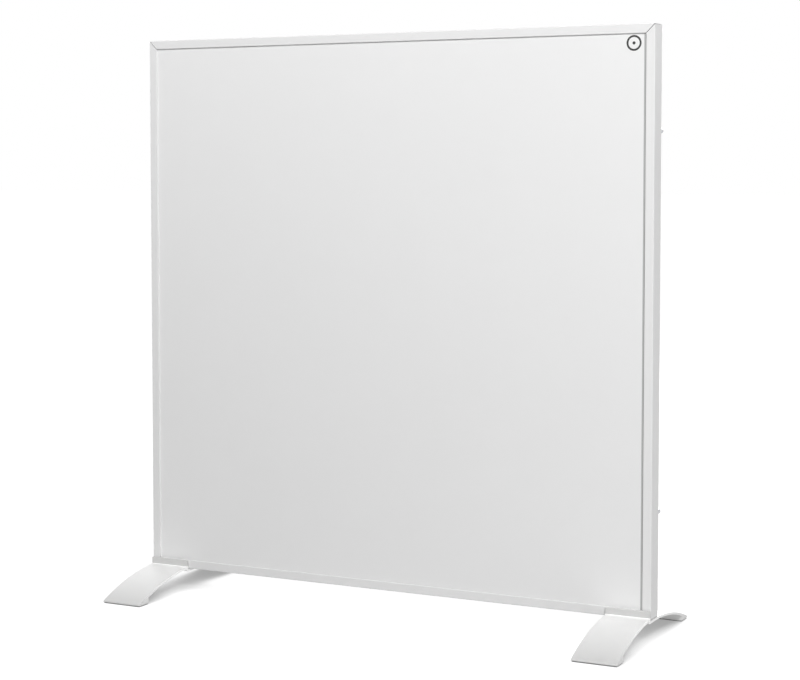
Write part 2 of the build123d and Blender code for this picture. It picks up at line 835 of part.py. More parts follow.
with BuildPart() as gland_nut:
    with BuildSketch(across_box.offset(nut_end)):
        with Locations(gland_point):
            RegularPolygon(gland_hex_width / 2, 6, major_radius=False, rotation=hex_turn)
    extrude(amount=nut_inner - nut_end)
    chamfer(faces().sort_by(Axis.X)[0].edges(), gland_nut_wall / 3)
    with BuildSketch(across_box.offset(gland_end)):
        with Locations(gland_point):
            Circle(thread_radius + gland_clearance)
    extrude(amount=nut_inner - gland_end, mode=Mode.SUBTRACT)
    with BuildSketch(across_box.offset(nut_end)):
        with Locations(gland_point):
            Circle(gland_mouth_diameter / 2)
    extrude(amount=gland_nut_wall, mode=Mode.SUBTRACT)
finish(gland_nut, "gland_nut")

with BuildPart() as gland_locknut:
    with BuildSketch(across_box.offset(box_left + box_wall)):
        with Locations(gland_point):
            RegularPolygon(locknut_width / 2, 6, major_radius=False, rotation=hex_turn)
            Circle(thread_radius + gland_clearance, mode=Mode.SUBTRACT)
    extrude(amount=locknut_thickness)
finish(gland_locknut, "gland_locknut")


# ---------------------------------------------------------------- earth stud

ring_diameter = earth_nut_width + 2 * ring_margin
nut_seat = floor_top + ring_thickness
with BuildPart() as earth_stud:
    with BuildSketch(facing("back", stud_x, wool_back, earth_z)):
        Circle(stud_diameter / 2)
    extrude(amount=stud_length)
finish(earth_stud, "earth_stud")

ring_end = stud_x - ring_diameter / 2 - ring_barrel_length
barrel_y = floor_top + ring_barrel_diameter / 2
with BuildPart() as earth_ring:
    with BuildSketch(facing("front", stud_x, floor_top, earth_z)):
        Circle(ring_diameter / 2)
        with Locations((-ring_diameter / 2, 0)):
            Rectangle(ring_diameter / 2, ring_barrel_diameter)
        Circle(stud_diameter / 2 + frame_clearance, mode=Mode.SUBTRACT)
    extrude(amount=-ring_thickness)
    with BuildSketch(across_box.offset(ring_end)):
        with Locations((barrel_y, earth_z)):
            Circle(ring_barrel_diameter / 2)
    extrude(amount=ring_barrel_length)
finish(earth_ring, "earth_ring")

with BuildPart() as earth_nut:
    with BuildSketch(facing("back", stud_x, nut_seat, earth_z)):
        RegularPolygon(earth_nut_width / 2, 6, major_radius=False)
        Circle(stud_diameter / 2 + thread_clearance, mode=Mode.SUBTRACT)
    extrude(amount=earth_nut_thickness)
finish(earth_nut, "earth_nut")


# ---------------------------------------------------------------- leads inside

def bend_radii(points):
    """The bend at each corner of a route, no larger than its two runs allow."""
    radii = []
    for before, corner, after in zip(points, points[1:], points[2:]):
        run_in = Vector(corner) - Vector(before)
        run_out = Vector(after) - Vector(corner)
        half_turn = radians(run_in.get_angle(run_out) / 2)
        room = bend_share * min(run_in.length, run_out.length) / tan(half_turn)
        radii.append(min(lead_bend, room))
    return radii


def make_lead(name, points):
    """An insulated lead along its route, bent at each corner."""
    with BuildPart() as lead:
        with BuildLine() as route:
            FilletPolyline(*points, radius=bend_radii(points))
        with BuildSketch(Plane(origin=points[0], z_dir=route.line % 0)):
            Circle(lead_diameter / 2)
        sweep()
    finish(lead, name)


spade_places = [
    ("cutout", cutout_x - cutout_blade_tip, 1),
    ("cutout", cutout_x + cutout_blade_tip, -1),
    ("upper", switch_back - blade_length, 1),
    ("lower", switch_back - blade_length, 1),
]
spade_z = {
    "cutout": cutout_z,
    "upper": switch_z + blade_split,
    "lower": switch_z - blade_split,
}
with BuildPart() as spade_connectors:
    for post, tip, inward in spade_places:
        on_cutout = post == "cutout"
        centre = (blade_y if on_cutout else fitting_y, spade_z[post])
        across, along = (spade_height, spade_width) if on_cutout else (spade_width, spade_height)
        slot_across = blade_thickness if on_cutout else blade_width
        slot_along = blade_width if on_cutout else blade_thickness
        with BuildSketch(across_box.offset(tip)):
            with Locations(centre):
                Rectangle(across, along)
                Rectangle(
                    slot_across + 2 * spade_clearance,
                    slot_along + 2 * spade_clearance,
                    mode=Mode.SUBTRACT,
                )
        extrude(amount=inward * blade_length)
        with BuildSketch(across_box.offset(tip)):
            with Locations(centre):
                Rectangle(across, along)
        extrude(amount=-inward * spade_height)
finish(spade_connectors, "spade_connectors")

inside_block = block_right - lead_insertion
above_cutout = (cutout_x - cutout_blade_tip - spade_height, blade_y, cutout_z)
beyond_cutout = (cutout_x + cutout_blade_tip + spade_height, blade_y, cutout_z)
live_turn_x = (block_right + above_cutout[0]) / 2
switch_turn_x = (beyond_cutout[0] + switch_lead_x) / 2
upper_blade_z = switch_z + blade_split
lower_blade_z = switch_z - blade_split

make_lead("live_lead", [
    (inside_block, terminal_y, live_z),
    (live_turn_x, terminal_y, live_z),
    (live_turn_x, blade_y, cutout_z),
    above_cutout,
])
make_lead("switch_lead", [
    beyond_cutout,
    (switch_turn_x, blade_y, cutout_z),
    (switch_turn_x, fitting_y, upper_blade_z),
    (switch_lead_x, fitting_y, upper_blade_z),
])
make_lead("heater_live_lead", [
    (switch_lead_x, fitting_y, lower_blade_z),
    (live_lead_x, fitting_y, lower_blade_z),
    (live_lead_x, fitting_y, neutral_z),
    (live_lead_x, board_back + bar_thickness, neutral_z),
])
make_lead("heater_neutral_lead", [
    (inside_block, terminal_y, neutral_z),
    (neutral_lead_x, terminal_y, neutral_z),
    (neutral_lead_x, board_back + bar_thickness, neutral_z),
])
earth_turn_x = (block_right + ring_end) / 2
make_lead("earth_lead", [
    (inside_block, terminal_y, earth_z),
    (earth_turn_x - lead_bend, terminal_y, earth_z),
    (earth_turn_x + lead_bend, barrel_y, earth_z),
    (ring_end, barrel_y, earth_z),
])


# ---------------------------------------------------------------- feet

def arch_height(y, peak, inset=0.0):
    """Height at y of the arch that rises from the tips to a peak, or of a surface inside it."""
    rise = peak - tip_top
    radius = (half_foot ** 2 + rise ** 2) / (2 * rise)
    return peak - radius + sqrt((radius - inset) ** 2 - y ** 2)


toe_start = half_foot - toe_length
foot_pad_length = toe_length - 2 * foot_pad_inset
foot_pad_width = foot_width - 2 * foot_pad_inset
liner_inner = front_lip_inner + liner_thickness
liner_top = panel_lift + front_lip_height - liner_below_lip


def arch_line(start, end, peak, inset=0.0):
    """The arch between two places along the foot."""
    middle = (start + end) / 2
    ThreePointArc(
        (start, arch_height(start, peak, inset)),
        (middle, arch_height(middle, peak, inset)),
        (end, arch_height(end, peak, inset)),
    )


def make_foot(name, start_x):
    """An aluminium extrusion: an arch with a toe at each end and a channel for the panel.

    The front half of the arch stands higher at the channel, which is sunk into it.
    """
    with BuildPart() as foot:
        with BuildSketch(Plane.YZ.offset(start_x)):
            with BuildLine():
                arch_line(-half_foot, front_lip_outer, front_peak)
                Polyline(
                    (front_lip_outer, arch_height(front_lip_outer, front_peak)),
                    (front_lip_outer, panel_lift + front_lip_height),
                    (front_lip_inner, panel_lift + front_lip_height),
                    (front_lip_inner, seat_height),
                    (rear_lip_inner, seat_height),
                    (rear_lip_inner, panel_lift + rear_lip_height),
                    (rear_lip_outer, panel_lift + rear_lip_height),
                    (rear_lip_outer, arch_height(rear_lip_outer, rear_peak)),
                )
                arch_line(rear_lip_outer, half_foot, rear_peak)
                Polyline(
                    (half_foot, tip_top),
                    (half_foot, foot_pad_thickness),
                    (toe_start, foot_pad_thickness),
                    (toe_start, arch_height(toe_start, rear_peak, arch_thickness)),
                )
                arch_line(toe_start, 0, rear_peak, arch_thickness)
                Polyline(
                    (0, channel_under),
                    (front_lip_outer, channel_under),
                    (front_lip_outer, arch_height(front_lip_outer, front_peak, arch_thickness)),
                )
                arch_line(front_lip_outer, -toe_start, front_peak, arch_thickness)
                Polyline(
                    (-toe_start, arch_height(toe_start, front_peak, arch_thickness)),
                    (-toe_start, foot_pad_thickness),
                    (-half_foot, foot_pad_thickness),
                    (-half_foot, tip_top),
                )
            make_face()
        extrude(amount=foot_width)
        with BuildSketch(facing("back", start_x + foot_width / 2, rear_lip_inner, clamp_z)):
            Circle(bush_diameter / 2 + thread_clearance)
        extrude(amount=rear_lip_thickness, mode=Mode.SUBTRACT)
        lip_middle = (seat_height + panel_lift + rear_lip_height) / 2
        with BuildSketch(facing("back", start_x + foot_width / 2, rear_lip_inner, lip_middle)):
            with GridLocations(foot_width - rear_lip_inset, 1, 2, 1):
                Rectangle(rear_lip_inset, panel_lift + rear_lip_height - seat_height)
        extrude(amount=rear_lip_thickness, mode=Mode.SUBTRACT)
    finish(foot, name)


def make_foot_pads(name, start_x):
    """The two rubber strips under the toes."""
    with BuildPart() as pads:
        with BuildSketch(Plane.XY):
            with Locations((start_x + foot_width / 2, 0)):
                with GridLocations(0, 2 * half_foot - toe_length, 1, 2):
                    Rectangle(foot_pad_width, foot_pad_length)
        extrude(amount=foot_pad_thickness)
    finish(pads, name)


def make_foot_liner(name, start_x):
    """The plastic strip that lines the channel where the panel rests."""
    with BuildPart() as liner:
        with BuildSketch(Plane.YZ.offset(start_x)):
            with BuildLine():
                Polyline(
                    (front_lip_inner, seat_height),
                    (half_depth, seat_height),
                    (half_depth, panel_lift),
                    (liner_inner, panel_lift),
                    (liner_inner, liner_top),
                    (front_lip_inner, liner_top),
                    close=True,
                )
            make_face()
        extrude(amount=foot_width)
    finish(liner, name)


# The thumb screw runs through a bush in the rear lip and presses a pad on the panel's back.
pad_front = half_depth + clamp_pad_gap
pad_back = pad_front + clamp_pad_thickness
tip_seat = pad_back - clamp_tip_length
bush_end = rear_lip_outer + bush_flange_thickness
knob_front = bush_end + knob_gap


def make_clamp(side, start_x):
    """The bush, pad and thumb screw of one foot."""
    middle = start_x + foot_width / 2
    with BuildPart() as bush:
        with BuildSketch(facing("back", middle, rear_lip_inner, clamp_z)):
            Circle(bush_diameter / 2)
        extrude(amount=rear_lip_thickness)
        with BuildSketch(facing("back", middle, rear_lip_outer, clamp_z)):
            Circle(bush_flange_diameter / 2)
        extrude(amount=bush_flange_thickness)
        with BuildSketch(facing("back", middle, rear_lip_inner, clamp_z)):
            Circle(clamp_thread_diameter / 2 + clamp_clearance)
        extrude(amount=bush_end - rear_lip_inner, mode=Mode.SUBTRACT)
    finish(bush, side + "_clamp_bush")

    with BuildPart() as pad:
        with BuildSketch(facing("back", middle, pad_front, clamp_z)):
            Circle(clamp_pad_diameter / 2)
        extrude(amount=clamp_pad_thickness)
        with BuildSketch(facing("back", middle, tip_seat, clamp_z)):
            Circle(clamp_tip_diameter / 2 + clamp_clearance)
        extrude(amount=clamp_tip_length, mode=Mode.SUBTRACT)
    finish(pad, side + "_clamp_pad")

    with BuildPart() as screw:
        with BuildSketch(facing("back", middle, tip_seat + clamp_clearance, clamp_z)):
            Circle(clamp_tip_diameter / 2)
        extrude(amount=clamp_tip_length)
        with BuildSketch(facing("back", middle, pad_back + clamp_clearance, clamp_z)):
            Circle(clamp_thread_diameter / 2)
        extrude(amount=knob_front - pad_back - clamp_clearance)
        with BuildSketch(facing("back", middle, knob_front, clamp_z)):
            Circle(knob_diameter / 2)
            with PolarLocations(knob_diameter / 2, knob_grooves):
                Circle(knob_groove_diameter / 2, mode=Mode.SUBTRACT)
        extrude(amount=knob_length)
    finish(screw, side + "_clamp_screw")


for side, start_x in (("left", -half_width), ("right", half_width - foot_width)):
    make_foot(side + "_foot", start_x)
    make_foot_pads(side + "_foot_pads", start_x)
    make_foot_liner(side + "_foot_liner", start_x)
    make_clamp(side, start_x)
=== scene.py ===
from math import acos, asin, cos, pi, radians, sin, sqrt, tan

import bmesh
import bpy
from mathutils import Matrix, Vector


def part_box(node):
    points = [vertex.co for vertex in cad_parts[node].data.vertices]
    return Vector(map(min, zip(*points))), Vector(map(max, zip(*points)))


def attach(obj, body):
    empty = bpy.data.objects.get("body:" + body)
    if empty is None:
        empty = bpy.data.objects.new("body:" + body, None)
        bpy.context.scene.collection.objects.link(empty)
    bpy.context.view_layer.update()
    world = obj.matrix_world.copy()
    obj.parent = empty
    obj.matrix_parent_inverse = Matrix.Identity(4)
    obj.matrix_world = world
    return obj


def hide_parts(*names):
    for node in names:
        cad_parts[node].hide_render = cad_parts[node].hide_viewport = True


# A free-standing infrared panel heater, dressed from the front plate outwards.
# X runs to the right along the panel, Y towards the back and Z up, in metres.
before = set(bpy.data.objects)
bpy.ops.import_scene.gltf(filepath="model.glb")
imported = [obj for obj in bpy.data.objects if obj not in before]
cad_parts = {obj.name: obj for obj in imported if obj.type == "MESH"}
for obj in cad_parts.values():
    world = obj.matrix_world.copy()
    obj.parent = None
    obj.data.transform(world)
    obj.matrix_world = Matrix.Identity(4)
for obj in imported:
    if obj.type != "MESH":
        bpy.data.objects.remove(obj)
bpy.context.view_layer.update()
mm = 0.001


# ---------------- front plate
# The heating face is a flat sheet of steel with a white enamel baked on, laid into the frame
# from behind. The enamel has a very fine orange-peel grain. A small printed ring with a dot in
# its middle sits near the top right corner, and a grey band beside the right rail is a painted
# shadow of the rail's lip.

enamel_white = (0.80, 0.80, 0.80, 1.0)
print_black = (0.03, 0.03, 0.03, 1.0)
# the grey of the shadow that is painted on the plate beside the right rail's lip
painted_shadow_grey = (0.42, 0.42, 0.42, 1.0)
coat_cloud = 90 * mm              # size of the faint unevenness of a baked coat
mark_from_side = 14.5 * mm
mark_from_top = 10.8 * mm
mark_radius = 6.9 * mm
mark_line = 2.0 * mm
mark_dot_radius = 1.6 * mm
# width of the painted shadow beside the right rail
painted_shadow_width = 2.6 * mm             # from the lip of the right rail


class Signal:
    """An output of a node. Arithmetic on it adds the Math nodes."""

    def __init__(self, shading, socket):
        self.shading, self.socket = shading, socket

    def maths(self, operation, first, second=0.0):
        inputs = {0: first, 1: second}
        return self.shading.node("ShaderNodeMath", {"operation": operation}, inputs)

    def __add__(self, other):
        return self.maths("ADD", self, other)

    def __sub__(self, other):
        return self.maths("SUBTRACT", self, other)

    def __rsub__(self, other):
        return self.maths("SUBTRACT", other, self)

    def __mul__(self, other):
        return self.maths("MULTIPLY", self, other)

    def __pow__(self, other):
        return self.maths("POWER", self, other)

    def __lt__(self, other):
        return self.maths("LESS_THAN", self, other)

    def __gt__(self, other):
        return self.maths("GREATER_THAN", self, other)

    def __abs__(self):
        return self.maths("ABSOLUTE", self)

    def sine(self):
        return self.maths("SINE", self)

    __radd__ = __add__
    __rmul__ = __mul__


class Shading:
    """A tree of shader nodes, and the nodes that the finishes need."""

    def __init__(self, tree):
        self.tree = tree

    def feed(self, node, values):
        """Set or link a node's inputs."""
        for name, value in values.items():
            if isinstance(value, Signal):
                self.tree.links.new(value.socket, node.inputs[name])
            else:
                node.inputs[name].default_value = value

    def node(self, kind, settings={}, values={}, output=0):
        """Add a node with its settings first, then its inputs, and return one output."""
        made = self.tree.nodes.new(kind)
        for name, value in settings.items():
            setattr(made, name, value)
        self.feed(made, values)
        return Signal(self, made.outputs[output])

    def mix(self, factor, first, second):
        """One colour turning into another."""
        inputs = {0: factor, 6: first, 7: second}
        return self.node("ShaderNodeMix", {"data_type": "RGBA"}, inputs, output=2)

    def seen(self):
        """1 for what the camera, a reflection or a view through glass looks at."""
        rays = [self.node("ShaderNodeLightPath", output=f"Is {kind} Ray")
                for kind in ("Camera", "Glossy", "Transmission")]
        return (rays[0] + rays[1] + rays[2]) > 0.5


class Finish(Shading):
    """A material made of nodes round one Principled shader."""

    def __init__(self, name, plain):
        self.material = bpy.data.materials.new(name)
        self.material.use_nodes = True
        super().__init__(self.material.node_tree)
        self.shader = self.tree.nodes["Principled BSDF"]
        self.feed(self.shader, plain)
        self.place = self.node("ShaderNodeTexCoord", output="Object")

    def along(self, axis):
        """The place along X, Y or Z, in metres."""
        return self.node("ShaderNodeSeparateXYZ", {}, {0: self.place}, output=axis)

    def stretched(self, size, stretch):
        """The place counted in features of about a size in metres, drawn out along an axis."""
        inputs = {0: self.place, 1: [1.0 / (size * factor) for factor in stretch]}
        return self.node("ShaderNodeVectorMath", {"operation": "MULTIPLY"}, inputs)

    def noise(self, size, detail=2.0, stretch=(1.0, 1.0, 1.0)):
        """Cloudy noise between 0 and 1."""
        inputs = {"Vector": self.stretched(size, stretch), "Scale": 1.0, "Detail": detail}
        return self.node("ShaderNodeTexNoise", {}, inputs)

    def shade(self, colour, factor, depth):
        """A colour that darkens by a share where the factor is high."""
        darker = [channel * (1.0 - depth) for channel in colour[:3]] + [1.0]
        return self.mix(factor, colour, darker)

    def bump(self, height, distance):
        """A normal from a height between 0 and 1, over a distance in metres."""
        inputs = {"Strength": 1.0, "Distance": distance, "Height": height}
        return self.node("ShaderNodeBump", {}, inputs)

    def set(self, **values):
        """Feed the shader, with the socket names in small letters."""
        sockets = {name.replace("_", " ").title(): value for name, value in values.items()}
        self.feed(self.shader, sockets)
        return self


def dress(finish, *nodes):
    """Give CAD nodes their finish."""
    for node in nodes:
        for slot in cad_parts[node].material_slots:
            slot.material = finish.material


def coated(name, colour, roughness, grain, depth, marks=()):
    """A baked coat on metal with an orange-peel grain. Marks pair a place with its colour."""
    finish = Finish(name, {"Metallic": 0.0, "Specular IOR Level": 0.5})
    cloud = finish.noise(coat_cloud, detail=3.0)
    peel = finish.noise(grain, detail=3.0)
    coat = finish.shade(colour, cloud, depth=0.02)
    for where, ink in marks:
        coat = finish.mix(where(finish), coat, ink)
    return finish.set(
        base_color=coat,
        roughness=roughness + 0.06 * (cloud - 0.5),
        normal=finish.bump(peel, depth),
    )


def ring_and_dot(finish):
    """Where the printed mark is."""
    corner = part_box("front_plate")[1]
    beside = finish.along("X") - (corner.x - mark_from_side)
    above = finish.along("Z") - (corner.z - mark_from_top)
    from_mark = (beside * beside + above * above) ** 0.5
    return (abs(from_mark - mark_radius) < mark_line / 2) + (from_mark < mark_dot_radius)


def painted_lip_shadow(finish):
    """Where the shadow of the right rail's lip is painted on the plate."""
    return finish.along("X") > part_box("frame_right_rail")[0].x - painted_shadow_width


dress(coated("white_enamel", enamel_white, roughness=0.42, grain=1.1 * mm, depth=0.006 * mm,
             marks=[(ring_and_dot, print_black), (painted_lip_shadow, painted_shadow_grey)]), "front_plate")


# ---------------- heating board
# The element is a board of glass cloth and resin with broad bands of carbon ink printed across
# it. Two strips of bare copper run up its sides and feed the bands.

laminate_green = (0.34, 0.37, 0.20, 1.0)
carbon_black = (0.022, 0.022, 0.024, 1.0)
copper_red = (0.80, 0.43, 0.28, 1.0)
cloth_pitch = 1.6 * mm
ink_speckle = 0.35 * mm
drawn_line = 0.25 * mm            # width of the lines that a die leaves in metal
drawn_patch = 25 * mm             # size of its duller patches


def drawn(name, colour, roughness, stretch, depth=0.003 * mm, metallic=1.0, patches=0.06,
          painted_shade=None):
    """Bare or anodised metal with fine lines drawn out along one axis.

    A painted shade colours it by place, instead of in duller patches.
    """
    finish = Finish(name, {"Metallic": metallic})
    lines = finish.noise(drawn_line, stretch=stretch)
    if painted_shade:
        surface = painted_shade(finish, colour)
    else:
        surface = finish.shade(colour, finish.noise(drawn_patch, detail=3.0), patches)
    return finish.set(
        base_color=surface,
        roughness=roughness + 0.10 * (lines - 0.5),
        normal=finish.bump(lines, depth),
    )


laminate = Finish("laminate", {"Specular IOR Level": 0.5})
warp = laminate.along("X") * (2 * pi / cloth_pitch)
weft = laminate.along("Z") * (2 * pi / cloth_pitch)
weave = 0.5 + 0.25 * (warp.sine() + weft.sine())
laminate.set(
    base_color=laminate.shade(laminate_green, weave, depth=0.25),
    roughness=0.35 + 0.15 * weave,
    normal=laminate.bump(weave, distance=0.02 * mm),
)
dress(laminate, "heater_board")

carbon_ink = Finish("carbon_ink", {"Specular IOR Level": 0.3})
speckle = carbon_ink.noise(ink_speckle, detail=4.0)
carbon_ink.set(
    base_color=carbon_ink.shade(carbon_black, speckle, depth=0.5),
    roughness=0.55 + 0.25 * speckle,
    normal=carbon_ink.bump(speckle, distance=0.01 * mm),
)
dress(carbon_ink, "carbon_tracks")
dress(drawn("copper", copper_red, roughness=0.30, stretch=(1.0, 1.0, 120.0), patches=0.25),
      "bus_bars")


# ---------------- insulation
# Behind the board lie a sheet of amber film that insulates it, a crinkled aluminium foil that
# throws its heat forwards, and a board of pressed mineral wool that fills the panel.

amber = (0.62, 0.30, 0.05, 1.0)
foil_silver = (0.86, 0.86, 0.87, 1.0)
wool_straw = (0.50, 0.43, 0.27, 1.0)
wool_pale = (0.58, 0.54, 0.42, 1.0)
film_ripple = 30 * mm
foil_facet = 9 * mm
foil_cloud = 6 * mm
wool_fibre = 0.5 * mm
wool_clump = 7 * mm

amber_film = Finish("amber_film", {"Specular IOR Level": 0.5, "Coat Weight": 0.6})
ripple = amber_film.noise(film_ripple)
amber_film.set(
    base_color=amber_film.shade(amber, ripple, depth=0.2),
    roughness=0.12 + 0.1 * ripple,
    normal=amber_film.bump(ripple, distance=0.4 * mm),
)
dress(amber_film, "insulating_sheet")

foil = Finish("foil", {"Metallic": 1.0})
facets = foil.stretched(foil_facet, stretch=(1.0, 1.0, 1.0))
crinkle = foil.node("ShaderNodeTexVoronoi", {"feature": "DISTANCE_TO_EDGE"},
                    {"Vector": facets, "Scale": 1.0})
foil.set(
    base_color=foil.shade(foil_silver, crinkle, depth=0.08),
    roughness=0.18 + 0.15 * foil.noise(foil_cloud),
    normal=foil.bump(crinkle, distance=0.5 * mm),
)
dress(foil, "reflector_foil")

mineral_wool = Finish("mineral_wool", {"Specular IOR Level": 0.1})
fibres = mineral_wool.noise(wool_fibre, detail=5.0, stretch=(14.0, 1.0, 3.0))
clumps = mineral_wool.noise(wool_clump, detail=4.0)
mineral_wool.set(
    base_color=mineral_wool.mix(
        clumps,
        mineral_wool.shade(wool_straw, fibres, depth=0.6),
        mineral_wool.shade(wool_pale, fibres, depth=0.4),
    ),
    roughness=0.85 + 0.1 * fibres,
    normal=mineral_wool.bump(fibres, distance=0.3 * mm),
)
dress(mineral_wool, "insulation_board")


# ---------------- frame rails
# Four lengths of hollow aluminium section, coated white and then saw-cut at 45 degrees. Each
# mitre's cut faces are bare metal coloured near black, a painted shade of the narrow gap.
# Their lips hold the plates front and back.

rail_white = (0.77, 0.77, 0.77, 1.0)
# near black on the bare mitre faces: painted shade of the gap between two rails
mitre_shade_grey = (0.05, 0.05, 0.052, 1.0)
rail_lip = 9.2 * mm
rail_lip_thickness = 1.5 * mm
rail_web = 8.0 * mm               # outer face to the back of the groove
rail_edge = 0.8 * mm              # outer long edges
rail_lip_edge = 0.55 * mm
rear_bevel = 1.2 * mm
mitre_gap = 0.8 * mm
mitre_edge = 0.45 * mm
chamber_middle = 4.25 * mm        # outer face to the line of screws
key_screw_from_corner = 22.0 * mm
countersink_radius = 2.8 * mm
countersink_depth = 1.3 * mm
outline_weld = 0.001 * mm         # nearer ends of an outline are one point
weld = 0.0005 * mm
overlap = 0.1 * mm                # past a face that is cut or joined
nearly_along = 0.99               # cosine of the angle to a direction
smooth_up_to = 38                 # degrees between two faces that are shaded as one


class Outline:
    """A cross-section drawn point by point, with its arcs spun round a centre."""

    def __init__(self, bm, start):
        self.bm = bm
        self.first = self.last = bm.verts.new(start)

    def to(self, *points):
        for point in points:
            corner = self.bm.verts.new(point)
            self.bm.edges.new((self.last, corner))
            self.last = corner

    def arc(self, centre, axis, turn, steps):
        spun = bmesh.ops.spin(
            self.bm, geom=[self.last], cent=centre, axis=axis, angle=turn, steps=steps
        )
        self.last = [item for item in spun["geom_last"] if isinstance(item, bmesh.types.BMVert)][0]

    def close(self):
        if (self.last.co - self.first.co).length > outline_weld:
            self.bm.edges.new((self.last, self.first))
        bmesh.ops.remove_doubles(self.bm, verts=self.bm.verts, dist=outline_weld)
        return bmesh.ops.contextual_create(self.bm, geom=self.bm.edges[:])["faces"][0]


def draw_out(bm, face, travel):
    """Extrude a cross-section along a vector."""
    made = bmesh.ops.extrude_face_region(bm, geom=[face])["geom"]
    moved = [item for item in made if isinstance(item, bmesh.types.BMVert)]
    bmesh.ops.translate(bm, verts=moved, vec=travel)
    bmesh.ops.recalc_face_normals(bm, faces=bm.faces)


def sharp_edges(bm, least):
    """The edges whose faces meet at more than an angle in degrees."""
    return [edge for edge in bm.edges if len(edge.link_faces) == 2
            and edge.calc_face_angle() > radians(least)]


def edges_along(bm, direction):
    """The edges that run along a direction."""
    way = Vector(direction)
    return [edge for edge in bm.edges
            if abs((edge.verts[1].co - edge.verts[0].co).normalized().dot(way)) > nearly_along]


def ease(bm, edges, width, segments, material=-1):
    """Round edges over with a small bevel."""
    bmesh.ops.bevel(
        bm, geom=edges, offset=width, segments=segments, profile=0.5, affect="EDGES",
        material=material, clamp_overlap=True,
    )


def turned(bm, start, along, profile, steps=48, bored=False):
    """Spin a profile of distances along an axis and radii. A bored one joins its own ends."""
    axis = Vector(along)
    side = axis.orthogonal().normalized()
    corners = [bm.verts.new(Vector(start) + axis * far + side * radius) for far, radius in profile]
    edges = [bm.edges.new(pair) for pair in zip(corners, corners[1:])]
    if bored:
        edges.append(bm.edges.new((corners[-1], corners[0])))
    bmesh.ops.spin(bm, geom=corners + edges, cent=start, axis=axis, angle=2 * pi, steps=steps,
                   use_merge=True)


def new_object(bm, name):
    """Weld a mesh, turn its faces outwards and put it in the scene."""
    bmesh.ops.remove_doubles(bm, verts=bm.verts, dist=weld)
    bmesh.ops.recalc_face_normals(bm, faces=bm.faces)
    mesh = bpy.data.meshes.new(name)
    bm.to_mesh(mesh)
    bm.free()
    made = bpy.data.objects.new(name, mesh)
    bpy.context.scene.collection.objects.link(made)
    return made


def smooth(piece):
    """Shade a piece smooth between its sharp edges, and keep its flat faces flat."""
    piece.data.shade_smooth()
    piece.data.set_sharp_from_angle(angle=radians(smooth_up_to))
    flat = piece.modifiers.new("flat", "WEIGHTED_NORMAL")
    flat.keep_sharp = True


def settle(bm, name, body, finishes, node):
    """Turn a mesh into a finished piece that rides on a body and stands for a CAD node."""
    piece = new_object(bm, name)
    for finish in finishes:
        piece.data.materials.append(finish.material)
    smooth(piece)
    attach(piece, body)
    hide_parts(node)
    return piece


def carve(piece, bm):
    """Cut the solids of a mesh out of a piece, by a Boolean that is applied at once."""
    cutter = new_object(bm, "cutter")
    cutter_mesh = cutter.data
    piece.modifiers.clear()
    cut = piece.modifiers.new("cut", "BOOLEAN")
    cut.operation = "DIFFERENCE"
    cut.object = cutter
    cut.solver = "EXACT"
    cut.use_self = True
    bpy.context.view_layer.update()
    graph = bpy.context.evaluated_depsgraph_get()
    carved = bpy.data.meshes.new_from_object(piece.evaluated_get(graph))
    piece.modifiers.clear()
    bpy.data.objects.remove(cutter)
    bpy.data.meshes.remove(cutter_mesh)
    piece.data = carved
    smooth(piece)


white_frame = coated("white_frame", rail_white, roughness=0.34, grain=0.5 * mm, depth=0.0012 * mm)
# the mitre faces get a dark colour that paints the shade of the seam over bare metal
shaded_mitre_cut = Finish("shaded_mitre_cut", {"Metallic": 0.3, "Base Color": mitre_shade_grey})
shaded_mitre_cut.set(roughness=0.5 + 0.2 * shaded_mitre_cut.noise(size=0.4 * mm))

panel_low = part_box("frame_left_rail")[0]
panel_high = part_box("frame_right_rail")[1]
panel_low.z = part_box("frame_bottom_rail")[0].z
panel_high.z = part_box("frame_top_rail")[1].z
panel_width = panel_high.x - panel_low.x
panel_height = panel_high.z - panel_low.z
front_face = panel_low.y
rear_face = panel_high.y


